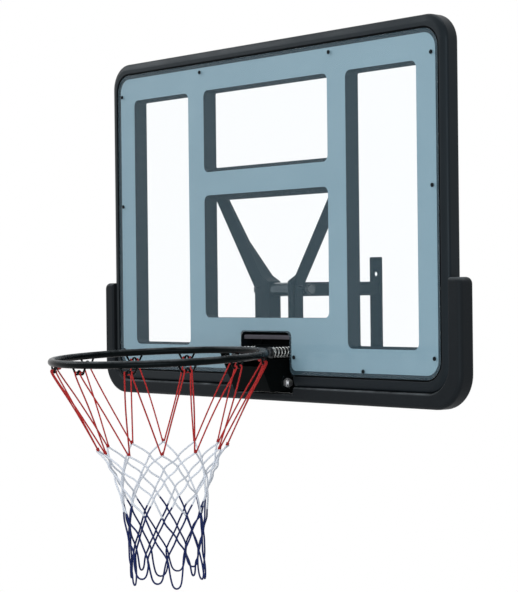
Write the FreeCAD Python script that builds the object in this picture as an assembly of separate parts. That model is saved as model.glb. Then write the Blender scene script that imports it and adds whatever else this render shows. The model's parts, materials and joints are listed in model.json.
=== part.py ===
import FreeCAD, Part
import os
from math import acos, cos, degrees, pi, radians, sin, sqrt, tan
from FreeCAD import Vector

# Wall-mounted basketball backboard with a spring breakaway rim and a tied net.
# All sizes are millimetres.  While modelling, Y = 0 is the board's front plane and
# grows towards the wall, Z = 0 is the lowest edge of the pad and X = 0 is the middle.
# The finished pieces are then moved so that the origin is the centre of the wall bolts.

# Moulded frame
FRAME_WIDTH = 1148.0
FRAME_HEIGHT = 787.0
FRAME_DEPTH = 40.0
FRAME_CORNER = 60.0
FRAME_FRONT_ROUND = 7.0
FRAME_REAR_ROUND = 7.0
PITCH_RUN = 16.0
PITCH_DROP = 6.0
RIM_SIDE = 20.0
RIM_TOP = 25.0
RIM_BOTTOM = 24.0
REAR_GROOVE_INSET = 34.0
REAR_GROOVE_WIDTH = 16.0
REAR_GROOVE_DEPTH = 7.0
BOSS_RADIUS = 14.0
BOSS_HEIGHT = 6.0

# Clear sheet and the border printed on its rear face
SHEET_GAP = 4.0
SHEET_SET_BACK = 1.0
SHEET_THICK = 4.0
SHEET_CORNER = 42.0
PRINT_THICK = 0.4
PRINT_MARGIN = 9.0

# Windows in the printed border, with the frame's drafted walls behind them
SIDE_BAR = 55.0
TOP_BAR = 55.0
MIDDLE_BAR = 57.5
BAND_BAR = 55.0
CENTRE_WINDOW_WIDTH = 429.0
CENTRE_WINDOW_HEIGHT = 289.5
CENTRE_BOTTOM_BAR = 118.5
SIDE_BOTTOM_BAR = 52.5
WINDOW_CORNER = 15.0
WINDOW_REAR_CORNER = 3.0
WALL_DRAFT = 5.0
BAND_DRAFT = 12.0

# Notch for the rim
NOTCH_WIDTH = 172.0
NOTCH_HEIGHT = 123.0
NOTCH_CORNER = 13.0
NOTCH_FLARE = 14.0
NOTCH_PRINT_MARGIN = 3.0
NOTCH_RELIEF = 12.0

# Fits
HOLE_CLEARANCE = 0.05

# Pad round the lower edge
PAD_SIDE = 36.0
PAD_BOTTOM = 33.0
PAD_LEG_HEIGHT = 274.0
PAD_CORNER = 76.0
PAD_PROUD = 4.0
PAD_EDGE = 3.5
PAD_FIT = 0.3
PAD_ROUND = 10.0
PAD_LEG_ROUND = 14.0
PAD_LIP_THICK = 4.0
PAD_LIP_LAP = 18.0
PAD_NOTCH_SIDE = 14.0
PAD_NOTCH_FLOOR = 16.0

# Rear posts with their splayed braces, pressed from angle strip
POST_INNER = 33.0
POST_WIDTH = 49.0
POST_THICK = 3.0
POST_FOOT = 45.0
POST_FLANGE = 37.0
BEND_RISE = 3.0
BRACE_ANGLE = 33.0
BRACE_WIDTH = 35.0
BRACE_BOLT_INSET = 22.0
BRACE_TAPER = 97.0
BRACE_LIP = 13.0
ELBOW_GAP = 3.0
ELBOW_RUN = 13.0
RELIEF_LENGTH = 22.0
RELIEF_WIDTH = 5.0

# Arms that reach back to the wall bars
WALL_REACH = 295.0
ARM_WIDTH = 48.0
ARM_HEIGHT = 32.0
ARM_WALL = 2.0
ARM_SIDE_GAP = 0.5
ARM_FRONT_GAP = 3.0
UPPER_ARM_HEIGHT = 253.0
LOWER_ARM_HEIGHT = 77.0
CROSS_BOLT_DEPTH = 65.0
CROSS_BOLT_RADIUS = 6.0
SPACER_RADIUS = 16.0

# Wall bars
BAR_WIDTH = 38.0
BAR_DEPTH = 5.0
BAR_CORNER = 3.0
BAR_LENGTH = 330.0
BAR_TOP = 327.0
BAR_SPACING = 142.0
BAR_HOLE_INSET = 40.0
BAR_HOLE_RADIUS = 5.5

# Ring, net hooks and net
RING_INSIDE = 450.0
RING_ROD = 16.0
RING_CENTRE_OUT = 303.0
RING_HEIGHT = 108.5
RING_DROOP = 2.1
HOOK_COUNT = 12
HOOK_TURN = 6.5
HOOK_WIRE = 2.6
HOOK_SPAN = 20.0
HOOK_BEND = 5.2
HOOK_DROP = 14.0
HOOK_SIDES = 6
CORD_RADIUS = 2.2
CORD_GAP = 0.3
CORD_HOOK_GAP = 0.9
CORD_SIDES = 6
KNOT_RADIUS = 5.0
KNOT_HEIGHT = 8.5
ROW_DROPS = (196.0, 229.0, 263.0, 300.0, 342.0, 384.0, 424.0)
ROW_RADII = (141.0, 120.0, 104.5, 95.0, 88.0, 82.0, 80.0)
WHITE_ROW_COUNT = 3
LOOP_DROP = 58.0
LOOP_RADIUS = 15.0
LOOP_STEPS = 4

# Breakaway bracket that carries the ring, and the base that it hinges on
HINGE_DEPTH = 7.0
HINGE_HEIGHT = 42.0
HINGE_RADIUS = 6.0
HINGE_CLEARANCE = 0.05
SLEEVE_RADIUS = 9.5
CHEEK_INNER = 60.0
CHEEK_THICK = 3.5
CHEEK_FOOT = 24.0
CHEEK_TOP = 95.0
CHEEK_TOE = -37.0
CHEEK_FRONT = -82.0
CHEEK_STEP = -47.0
CHEEK_STEP_SLOPE = 10.0
BACK_PLATE_DEPTH = 26.0
BACK_PLATE_THICK = 4.0
BACK_PLATE_HALF = 76.0
BACK_PLATE_FOOT = 60.0
BACK_PLATE_TOP = 126.0
TOP_PLATE_HALF = 42.0
TOP_PLATE_THICK = 4.0
TOP_PLATE_TOP = 121.0
APRON_TOP = 80.0
APRON_THICK = 3.0
BASE_HALF = 79.0
BASE_THICK = 4.0
BASE_TOP = 149.5
WEB_HALF = 99.0
WEB_TOP = 157.5
BASE_LIP_DEPTH = 8.0
BASE_LIP_HEIGHT = 10.0
EAR_GAP = 0.5
EAR_THICK = 4.0
EAR_RADIUS = 15.0
BASE_BOLT_X = 57.5
BASE_BOLT_HEIGHT = 134.0
FRAME_BOLT_HEIGHT = 172.0

# Springs and the long bolts that they ride on
SPRING_BOLT_X = 60.0
SPRING_BOLT_HEIGHT = 111.0
SPRING_BOLT_RADIUS = 5.0
SPRING_OUTER = 12.3
SPRING_WIRE = 1.5
SPRING_LENGTH = 58.0
SPRING_END_PITCH = 3.5
SPRING_ACTIVE_TURNS = 5
WIRE_SIDES = 6
SLOT_HALF_WIDTH = 5.7
SLOT_BELOW = 10.5
SLOT_ABOVE = 7.0
STOP_TUBE_RADIUS = 8.0
WASHER_THICK = 2.5
SPRING_WASHER_RADIUS = 12.5

# Fastener heads
M8_RADIUS = 4.0
M8_FLATS = 13.0
M8_HEAD = 5.3
M10_FLATS = 17.0
M10_HEAD = 6.4
M10_NUT = 8.0
M12_FLATS = 19.0
M12_HEAD = 7.5
M12_NUT = 10.0
WASHER_MARGIN = 3.0
FRAME_BOLT_DEPTH = 28.0
OVERCUT = 1.0
SAME = 1e-6

# Places that follow from the sizes above
HALF_FRAME = FRAME_WIDTH / 2
FRAME_BOTTOM = PAD_BOTTOM
FRAME_TOP = FRAME_BOTTOM + FRAME_HEIGHT
RECESS = SHEET_SET_BACK + SHEET_THICK + PRINT_THICK
SHEET_HALF = HALF_FRAME - RIM_SIDE - SHEET_GAP
SHEET_BOTTOM = FRAME_BOTTOM + RIM_BOTTOM + SHEET_GAP
SHEET_TOP = FRAME_TOP - RIM_TOP - SHEET_GAP
PRINT_HALF = SHEET_HALF - PRINT_MARGIN
PRINT_BOTTOM = SHEET_BOTTOM + PRINT_MARGIN
PRINT_TOP = SHEET_TOP - PRINT_MARGIN
WINDOW_TOP = PRINT_TOP - TOP_BAR
CENTRE_HALF = CENTRE_WINDOW_WIDTH / 2
SIDE_WINDOW_IN = CENTRE_HALF + MIDDLE_BAR
SIDE_WINDOW_OUT = PRINT_HALF - SIDE_BAR
CENTRE_FLOOR = PRINT_BOTTOM + CENTRE_BOTTOM_BAR
BAND_BOTTOM = CENTRE_FLOOR + CENTRE_WINDOW_HEIGHT
BAND_TOP = BAND_BOTTOM + BAND_BAR
NOTCH_TOP = FRAME_BOTTOM + NOTCH_HEIGHT
NOTCH_HALF = NOTCH_WIDTH / 2
POST_FRONT = FRAME_DEPTH + BOSS_HEIGHT
POST_BACK = POST_FRONT + POST_THICK
POST_OUTER = POST_INNER + POST_WIDTH
ARM_INNER = POST_INNER + POST_THICK + ARM_SIDE_GAP
ARM_OUTER = ARM_INNER + ARM_WIDTH
BAR_FRONT = WALL_REACH - BAR_DEPTH
BAR_FOOT = BAR_TOP - BAR_LENGTH
WALL_CENTRE_HEIGHT = BAR_TOP - BAR_LENGTH / 2
RING_RADIUS = (RING_INSIDE + RING_ROD) / 2
ROD_RADIUS = RING_ROD / 2
HOOK_PITCH = 360.0 / HOOK_COUNT
HOOK_BOTTOM = -(ROD_RADIUS + HOOK_DROP)
LAYER_OFFSET = CORD_RADIUS + CORD_GAP / 2
BRACE_LEAN = radians(BRACE_ANGLE)
BRACE_ALONG = Vector(sin(BRACE_LEAN), 0, cos(BRACE_LEAN))
BRACE_ACROSS = Vector(cos(BRACE_LEAN), 0, -sin(BRACE_LEAN))
BEND_OUTER = Vector(POST_OUTER, 0, UPPER_ARM_HEIGHT + BEND_RISE)
BEND_MIDDLE = BEND_OUTER - BRACE_ACROSS * (BRACE_WIDTH / 2)
BRACE_INSIDE = BEND_OUTER - BRACE_ACROSS * BRACE_WIDTH
BEND_INNER = Vector(POST_INNER, 0, UPPER_ARM_HEIGHT + ARM_HEIGHT / 2 + ELBOW_GAP)
ELBOW_END = BRACE_INSIDE + BRACE_ALONG * ELBOW_RUN
BRACE_REACH = ((BAND_TOP + BAND_BOTTOM) / 2 - BEND_MIDDLE.z) / cos(BRACE_LEAN)
BRACE_BOLT = BEND_MIDDLE + BRACE_ALONG * BRACE_REACH
BASE_FRONT = POST_FRONT - BASE_THICK
CHEEK_OUTER = CHEEK_INNER + CHEEK_THICK
EAR_INNER = CHEEK_OUTER + EAR_GAP
EAR_OUTER = EAR_INNER + EAR_THICK
SPRING_WASHER_BACK = BACK_PLATE_DEPTH - SPRING_LENGTH
SIDES = (-1, 1)


def box(x0, x1, y0, y1, z0, z1):
    return Part.makeBox(x1 - x0, y1 - y0, z1 - z0, Vector(x0, y0, z0))


def rounded_outline(x0, x1, z0, z1, radius, y):
    """Rectangle with round corners, upright in the plane at depth y."""
    slack = radius * (1 - sqrt(0.5))
    points = [(x0 + radius, z0), (x1 - radius, z0), (x1, z0 + radius), (x1, z1 - radius),
              (x1 - radius, z1), (x0 + radius, z1), (x0, z1 - radius), (x0, z0 + radius)]
    middles = [(x1 - slack, z0 + slack), (x1 - slack, z1 - slack),
               (x0 + slack, z1 - slack), (x0 + slack, z0 + slack)]
    corners = [Vector(x, y, z) for x, z in points]
    bulges = [Vector(x, y, z) for x, z in middles]
    edges = []
    for side in range(4):
        start = corners[2 * side]
        end = corners[2 * side + 1]
        after = corners[(2 * side + 2) % 8]
        edges.append(Part.LineSegment(start, end).toShape())
        edges.append(Part.Arc(end, bulges[side], after).toShape())
    return Part.Wire(edges)


def slab(x0, x1, z0, z1, radius, y0, y1):
    """Upright plate with round corners between the depths y0 and y1."""
    return Part.Face(rounded_outline(x0, x1, z0, z1, radius, y0)).extrude(Vector(0, y1 - y0, 0))


def plate(points, y0, y1):
    """Upright plate with straight edges through (x, z) points."""
    ring = [Vector(x, y0, z) for x, z in points]
    return Part.Face(Part.makePolygon(ring + ring[:1])).extrude(Vector(0, y1 - y0, 0))


def side_plate(points, x0, x1):
    """Plate square to the board with straight edges through (y, z) points."""
    ring = [Vector(x0, y, z) for y, z in points]
    return Part.Face(Part.makePolygon(ring + ring[:1])).extrude(Vector(x1 - x0, 0, 0))


def rod(radius, start, end):
    along = end - start
    return Part.makeCylinder(radius, along.Length, start, along)


def rod_y(radius, x, z, y0, y1):
    return rod(radius, Vector(x, y0, z), Vector(x, y1, z))


def rod_x(radius, y, z, x0, x1):
    return rod(radius, Vector(x0, y, z), Vector(x1, y, z))


def hex_prism(flats, start, end):
    """Six-sided prism with its axis from start to end."""
    corner = flats / sqrt(3)
    ring = [Vector(corner * cos(k * pi / 3), corner * sin(k * pi / 3), 0) for k in range(6)]
    along = end - start
    prism = Part.Face(Part.makePolygon(ring + ring[:1])).extrude(Vector(0, 0, along.Length))
    prism.Placement = FreeCAD.Placement(start, FreeCAD.Rotation(Vector(0, 0, 1), along))
    return prism


def hex_bolt(radius, flats, head, under_head, tip):
    """Bolt whose shank runs from the underside of its head to its tip."""
    along = (tip - under_head).normalize()
    return hex_prism(flats, under_head - along * head, under_head).fuse(rod(radius, under_head, tip))


def washer(outer, inner, start, end):
    return rod(outer, start, end).cut(rod(inner, start, end))


def nut(flats, hole, start, end):
    return hex_prism(flats, start, end).cut(rod(hole, start, end))


def on_both_sides(make):
    """Two solids from a function of the side, -1 for left and 1 for right."""
    return [make(side) for side in SIDES]


def edges_at_depth(shape, y):
    flat = []
    for edge in shape.Edges:
        bounds = edge.BoundBox
        if abs(bounds.YMin - y) < SAME and abs(bounds.YMax - y) < SAME:
            flat.append(edge)
    return flat


# Frame, sheet and print

def windows():
    """Each window as (x0, x1, z0, z1) with the drafts of its left, right, lower and upper walls."""
    side_floor = PRINT_BOTTOM + SIDE_BOTTOM_BAR
    plain = (WALL_DRAFT, WALL_DRAFT, WALL_DRAFT, WALL_DRAFT)
    return [
        ((-SIDE_WINDOW_OUT, -SIDE_WINDOW_IN, side_floor, WINDOW_TOP), plain),
        ((SIDE_WINDOW_IN, SIDE_WINDOW_OUT, side_floor, WINDOW_TOP), plain),
        ((-CENTRE_HALF, CENTRE_HALF, BAND_TOP, WINDOW_TOP),
         (WALL_DRAFT, WALL_DRAFT, BAND_DRAFT, WALL_DRAFT)),
        ((-CENTRE_HALF, CENTRE_HALF, CENTRE_FLOOR, BAND_BOTTOM),
         (WALL_DRAFT, WALL_DRAFT, 0.0, BAND_DRAFT)),
    ]


def drafted_window(outline, drafts):
    """Cutter that narrows from the sheet's seat to the frame's rear face."""
    x0, x1, z0, z1 = outline
    left, right, lower, upper = drafts
    sections = []
    for y, corner in ((RECESS - OVERCUT, WINDOW_CORNER), (FRAME_DEPTH + OVERCUT, WINDOW_REAR_CORNER)):
        share = (y - RECESS) / (FRAME_DEPTH - RECESS)
        sections.append(rounded_outline(x0 + left * share, x1 - right * share,
                                        z0 + lower * share, z1 - upper * share, corner, y))
    return Part.makeLoft(sections, True, True)


def notch(half, top, y0, y1):
    floor = FRAME_BOTTOM - 2 * NOTCH_CORNER - OVERCUT
    return slab(-half, half, floor, top, NOTCH_CORNER, y0, y1)


def flare_notch(shape, half, floor):
    """Round the two corners where the notch runs out at the lower edge."""
    corners = []
    for edge in shape.Edges:
        bounds = edge.BoundBox
        inward = bounds.XLength < SAME and bounds.ZLength < SAME
        if inward and abs(abs(bounds.XMin) - half) < SAME and abs(bounds.ZMin - floor) < SAME:
            corners.append(edge)
    return shape.makeFillet(NOTCH_FLARE, corners)


def frame_bolt_places():
    places = []
    for side in SIDES:
        places.append((side * BRACE_BOLT.x, BRACE_BOLT.z))
        places.append((side * BASE_BOLT_X, FRAME_BOLT_HEIGHT))
    return places


def frame_outline(grow, y):
    return rounded_outline(-HALF_FRAME - grow, HALF_FRAME + grow, FRAME_BOTTOM - grow, FRAME_TOP + grow,
                           FRAME_CORNER + grow, y)


def frame_outline_slab(grow, y0, y1):
    return Part.Face(frame_outline(grow, y0)).extrude(Vector(0, y1 - y0, 0))


def backboard_frame():
    """Moulding whose front face slopes back to its outer edge, cut out for sheet, windows and rim."""
    body = frame_outline_slab(0, PITCH_DROP, FRAME_DEPTH)
    body = body.fuse(Part.makeLoft([frame_outline(0, PITCH_DROP), frame_outline(-PITCH_RUN, 0)], True, True))
    body = body.makeFillet(FRAME_FRONT_ROUND, edges_at_depth(body, PITCH_DROP))
    body = body.makeFillet(FRAME_REAR_ROUND, edges_at_depth(body, FRAME_DEPTH))
    seat = slab(-HALF_FRAME + RIM_SIDE, HALF_FRAME - RIM_SIDE, FRAME_BOTTOM + RIM_BOTTOM,
                FRAME_TOP - RIM_TOP, SHEET_CORNER + SHEET_GAP, -OVERCUT, RECESS)
    groove_back = FRAME_DEPTH + OVERCUT
    groove_front = FRAME_DEPTH - REAR_GROOVE_DEPTH
    groove = frame_outline_slab(-REAR_GROOVE_INSET, groove_front, groove_back)
    groove_inset = REAR_GROOVE_INSET + REAR_GROOVE_WIDTH
    groove = groove.cut(frame_outline_slab(-groove_inset, groove_front, groove_back))
    relief = NOTCH_HALF + NOTCH_RELIEF
    lower_rail = box(-relief, relief, -OVERCUT, groove_back,
                     FRAME_BOTTOM - OVERCUT, FRAME_BOTTOM + RIM_BOTTOM)
    body = body.cut([seat, groove, lower_rail, notch(NOTCH_HALF, NOTCH_TOP, -OVERCUT, groove_back)])
    body = body.cut([drafted_window(outline, drafts) for outline, drafts in windows()])
    body = body.fuse([rod_y(BOSS_RADIUS, x, z, FRAME_DEPTH - OVERCUT, POST_FRONT)
                      for x, z in frame_bolt_places()])
    holes = [rod_y(M8_RADIUS + HOLE_CLEARANCE, x, z, POST_FRONT - FRAME_BOLT_DEPTH, POST_FRONT + OVERCUT)
             for x, z in frame_bolt_places()]
    return body.cut(holes)


def backboard_sheet():
    y0 = SHEET_SET_BACK
    y1 = y0 + SHEET_THICK
    body = slab(-SHEET_HALF, SHEET_HALF, SHEET_BOTTOM, SHEET_TOP, SHEET_CORNER, y0, y1)
    body = body.cut(notch(NOTCH_HALF, NOTCH_TOP, y0 - OVERCUT, y1 + OVERCUT))
    return flare_notch(body, NOTCH_HALF, SHEET_BOTTOM)


def printed_border():
    y0 = SHEET_SET_BACK + SHEET_THICK
    y1 = RECESS
    half = NOTCH_HALF + NOTCH_PRINT_MARGIN
    top = NOTCH_TOP + NOTCH_PRINT_MARGIN
    body = slab(-PRINT_HALF, PRINT_HALF, PRINT_BOTTOM, PRINT_TOP, SHEET_CORNER - PRINT_MARGIN, y0, y1)
    body = body.cut(notch(half, top, y0 - OVERCUT, y1 + OVERCUT))
    body = flare_notch(body, half, PRINT_BOTTOM)
    for outline, drafts in windows():
        body = body.cut(slab(*outline, WINDOW_CORNER, y0 - OVERCUT, y1 + OVERCUT))
    return body


# Pad

def edge_pad():
    half = HALF_FRAME + PAD_SIDE
    front = -PAD_PROUD
    blank = slab(-half, half, 0, PAD_LEG_HEIGHT + FRAME_CORNER, PAD_CORNER, front, FRAME_DEPTH)
    above = box(-half - OVERCUT, half + OVERCUT, front - OVERCUT, FRAME_DEPTH + OVERCUT,
                PAD_LEG_HEIGHT, FRAME_TOP)
    blank = blank.cut(above)
    shoulders = []
    for edge in blank.Edges:
        bounds = edge.BoundBox
        if bounds.XLength < SAME and abs(bounds.ZMin - PAD_LEG_HEIGHT) < SAME:
            shoulders.append(edge)
    blank = blank.makeFillet(PAD_LEG_ROUND, shoulders)
    blank = blank.makeFillet(PAD_ROUND, edges_at_depth(blank, front) + edges_at_depth(blank, FRAME_DEPTH))
    bevel = Part.makeLoft([frame_outline(PAD_FIT + PAD_EDGE + OVERCUT, front - OVERCUT),
                           frame_outline(PAD_FIT, front + PAD_EDGE)], True, True)
    body = blank.cut([bevel, frame_outline_slab(PAD_FIT, front - OVERCUT, FRAME_DEPTH + OVERCUT)])
    lip_half = half - PAD_ROUND
    lip_back = FRAME_DEPTH + PAD_LIP_THICK
    lip = slab(-lip_half, lip_half, PAD_ROUND, PAD_LEG_HEIGHT + FRAME_CORNER, PAD_CORNER - PAD_ROUND,
               FRAME_DEPTH, lip_back)
    lip = lip.cut([frame_outline_slab(-PAD_LIP_LAP, FRAME_DEPTH - OVERCUT, lip_back + OVERCUT),
                   box(-half, half, FRAME_DEPTH - OVERCUT, lip_back + OVERCUT,
                       PAD_LEG_HEIGHT - PAD_LEG_ROUND, FRAME_TOP)])
    body = body.fuse(lip)
    gap = NOTCH_HALF + PAD_NOTCH_SIDE
    return body.cut(box(-gap, gap, front - OVERCUT, lip_back + OVERCUT, PAD_NOTCH_FLOOR, PAD_LEG_HEIGHT))


# Rear posts, arms and wall bars

def right_post():
    """Angle-section post whose front flange splays into a brace; the inner flange tapers up it."""
    outer_end = BRACE_BOLT + BRACE_ALONG * BRACE_BOLT_INSET + BRACE_ACROSS * (BRACE_WIDTH / 2)
    inner_end = outer_end - BRACE_ACROSS * BRACE_WIDTH
    outline = [(POST_INNER, POST_FOOT), (POST_OUTER, POST_FOOT), (BEND_OUTER.x, BEND_OUTER.z),
               (outer_end.x, outer_end.z), (inner_end.x, inner_end.z), (ELBOW_END.x, ELBOW_END.z),
               (BEND_INNER.x, BEND_INNER.z)]
    body = plate(outline, POST_FRONT, POST_BACK)
    at_front = Vector(0, POST_FRONT, 0)
    at_back = Vector(0, POST_FRONT + POST_FLANGE, 0)
    at_lip = Vector(0, POST_FRONT + BRACE_LIP, 0)
    flange = box(POST_INNER, POST_INNER + POST_THICK, at_front.y, at_back.y, POST_FOOT, BEND_INNER.z)
    taper_top = ELBOW_END + BRACE_ALONG * BRACE_TAPER
    elbow = [BEND_INNER + at_front, BEND_INNER + at_back, ELBOW_END + at_back, ELBOW_END + at_front]
    taper = [ELBOW_END + at_front, ELBOW_END + at_back, taper_top + at_lip,
             inner_end + Vector(0, POST_BACK, 0), inner_end + at_front]
    folds = [Part.Face(Part.makePolygon(ring + ring[:1])).extrude(BRACE_ACROSS * POST_THICK)
             for ring in (elbow, taper)]
    body = body.fuse([flange] + folds)
    into_bend = Vector(-cos(BRACE_LEAN / 2), 0, sin(BRACE_LEAN / 2))
    mouth = BRACE_ALONG * RELIEF_WIDTH
    lead = BEND_OUTER - into_bend * RELIEF_WIDTH
    tip = BEND_OUTER + into_bend * RELIEF_LENGTH
    relief = plate([(lead.x, lead.z), (tip.x, tip.z), (lead.x + mouth.x, lead.z + mouth.z)],
                   POST_FRONT - OVERCUT, POST_BACK + OVERCUT)
    through = (POST_FRONT - OVERCUT, POST_BACK + OVERCUT)
    holes = [relief,
             rod_y(SPRING_BOLT_RADIUS + HOLE_CLEARANCE, SPRING_BOLT_X, SPRING_BOLT_HEIGHT, *through),
             rod_y(SPRING_BOLT_RADIUS + HOLE_CLEARANCE, BASE_BOLT_X, BASE_BOLT_HEIGHT, *through),
             rod_y(M8_RADIUS + HOLE_CLEARANCE, BASE_BOLT_X, FRAME_BOLT_HEIGHT, *through),
             rod_y(M8_RADIUS + HOLE_CLEARANCE, BRACE_BOLT.x, BRACE_BOLT.z, *through)]
    for height in (UPPER_ARM_HEIGHT, LOWER_ARM_HEIGHT):
        holes.append(rod_x(CROSS_BOLT_RADIUS + HOLE_CLEARANCE, CROSS_BOLT_DEPTH, height,
                           POST_INNER - OVERCUT, POST_INNER + POST_THICK + OVERCUT))
    return body.cut(holes)


def right_arm(height):
    """Rectangular tube from behind the post to the wall bar, drilled for the cross bolt."""
    y0 = POST_BACK + ARM_FRONT_GAP
    z0 = height - ARM_HEIGHT / 2
    z1 = height + ARM_HEIGHT / 2
    body = box(ARM_INNER, ARM_OUTER, y0, BAR_FRONT, z0, z1)
    bore = box(ARM_INNER + ARM_WALL, ARM_OUTER - ARM_WALL, y0 - OVERCUT, BAR_FRONT + OVERCUT,
               z0 + ARM_WALL, z1 - ARM_WALL)
    hole = rod_x(CROSS_BOLT_RADIUS + HOLE_CLEARANCE, CROSS_BOLT_DEPTH, height,
                 ARM_INNER - OVERCUT, ARM_OUTER + OVERCUT)
    return body.cut([bore, hole])


def right_wall_bar():
    """Upright flat bar against the wall with a hole near each end."""
    centre = BAR_SPACING / 2
    body = slab(centre - BAR_WIDTH / 2, centre + BAR_WIDTH / 2, BAR_FOOT, BAR_TOP, BAR_CORNER,
                BAR_FRONT, WALL_REACH)
    holes = [rod_y(BAR_HOLE_RADIUS, centre, z, BAR_FRONT - OVERCUT, WALL_REACH + OVERCUT)
             for z in (BAR_FOOT + BAR_HOLE_INSET, BAR_TOP - BAR_HOLE_INSET)]
    return body.cut(holes)


def cross_bolt(height):
    tip = -(ARM_OUTER + 2 * WASHER_THICK + M12_NUT)
    under_head = ARM_OUTER + WASHER_THICK
    return hex_bolt(CROSS_BOLT_RADIUS, M12_FLATS, M12_HEAD, Vector(under_head, CROSS_BOLT_DEPTH, height),
                    Vector(tip, CROSS_BOLT_DEPTH, height))


def cross_bolt_washers():
    solids = []
    for height in (UPPER_ARM_HEIGHT, LOWER_ARM_HEIGHT):
        for side in SIDES:
            solids.append(washer(M12_FLATS / 2 + WASHER_MARGIN, CROSS_BOLT_RADIUS + HOLE_CLEARANCE,
                                 Vector(side * ARM_OUTER, CROSS_BOLT_DEPTH, height),
                                 Vector(side * (ARM_OUTER + WASHER_THICK), CROSS_BOLT_DEPTH, height)))
    return solids


def cross_bolt_nuts():
    near = -(ARM_OUTER + WASHER_THICK)
    return [nut(M12_FLATS, CROSS_BOLT_RADIUS + HOLE_CLEARANCE, Vector(near, CROSS_BOLT_DEPTH, height),
                Vector(near - M12_NUT, CROSS_BOLT_DEPTH, height))
            for height in (UPPER_ARM_HEIGHT, LOWER_ARM_HEIGHT)]


def spacer_tube(height):
    return washer(SPACER_RADIUS, CROSS_BOLT_RADIUS + HOLE_CLEARANCE,
                  Vector(-POST_INNER, CROSS_BOLT_DEPTH, height),
                  Vector(POST_INNER, CROSS_BOLT_DEPTH, height))


def frame_bolts():
    return [hex_bolt(M8_RADIUS, M8_FLATS, M8_HEAD, Vector(x, POST_BACK, z),
                     Vector(x, POST_FRONT - FRAME_BOLT_DEPTH + OVERCUT, z)) for x, z in frame_bolt_places()]


# Rim: base, hinged bracket, ring and springs

def ring_place(shape):
    """Move a shape from the ring's own frame to its drooped place ahead of the board."""
    droop = FreeCAD.Rotation(Vector(1, 0, 0), RING_DROOP)
    place = FreeCAD.Placement(Vector(0, -RING_CENTRE_OUT, RING_HEIGHT), droop)
    moved = shape.copy()
    moved.Placement = place.multiply(moved.Placement)
    return moved


def ring_solid(rod_radius):
    return Part.makeTorus(RING_RADIUS, rod_radius)


def rim_base():
    """Plate that closes the notch, bolted to the posts, with a turned-down hood and two hinge ears."""
    web = box(-WEB_HALF, WEB_HALF, BASE_FRONT, POST_FRONT, PAD_NOTCH_FLOOR + PAD_FIT, WEB_TOP)
    roof = box(-BASE_HALF, BASE_HALF, BASE_LIP_DEPTH, POST_FRONT, BASE_TOP - BASE_THICK, BASE_TOP)
    lip = box(-BASE_HALF, BASE_HALF, BASE_LIP_DEPTH, BASE_LIP_DEPTH + BASE_THICK,
              BASE_TOP - BASE_LIP_HEIGHT, BASE_TOP)
    body = web.fuse([roof, lip])
    fold = []
    for edge in body.Edges:
        bounds = edge.BoundBox
        along = bounds.YLength < SAME and bounds.ZLength < SAME
        if along and abs(bounds.ZMin - BASE_TOP) < SAME and abs(bounds.YMin - BASE_LIP_DEPTH) < SAME:
            fold.append(edge)
    body = body.makeFillet(BASE_THICK - OVERCUT / 2, fold)
    ears = []
    for side in SIDES:
        ends = sorted((side * EAR_INNER, side * EAR_OUTER))
        ears.append(rod_x(EAR_RADIUS, HINGE_DEPTH, HINGE_HEIGHT, *ends))
        ears.append(box(ends[0], ends[1], HINGE_DEPTH, BASE_FRONT + OVERCUT,
                        HINGE_HEIGHT - EAR_RADIUS, HINGE_HEIGHT + EAR_RADIUS))
    body = body.fuse(ears)
    holes = [rod_x(HINGE_RADIUS + HINGE_CLEARANCE, HINGE_DEPTH, HINGE_HEIGHT, -BASE_HALF, BASE_HALF)]
    for side in SIDES:
        for x, z in ((SPRING_BOLT_X, SPRING_BOLT_HEIGHT), (BASE_BOLT_X, BASE_BOLT_HEIGHT)):
            holes.append(rod_y(SPRING_BOLT_RADIUS + HOLE_CLEARANCE, side * x, z,
                               BASE_FRONT - OVERCUT, POST_FRONT + OVERCUT))
    return body.cut(holes)


def spring_slot(side):
    x = side * SPRING_BOLT_X
    return slab(x - SLOT_HALF_WIDTH, x + SLOT_HALF_WIDTH, SPRING_BOLT_HEIGHT - SLOT_BELOW,
                SPRING_BOLT_HEIGHT + SLOT_ABOVE, SLOT_HALF_WIDTH - HOLE_CLEARANCE,
                BACK_PLATE_DEPTH - OVERCUT, BACK_PLATE_DEPTH + BACK_PLATE_THICK + OVERCUT)


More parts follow.
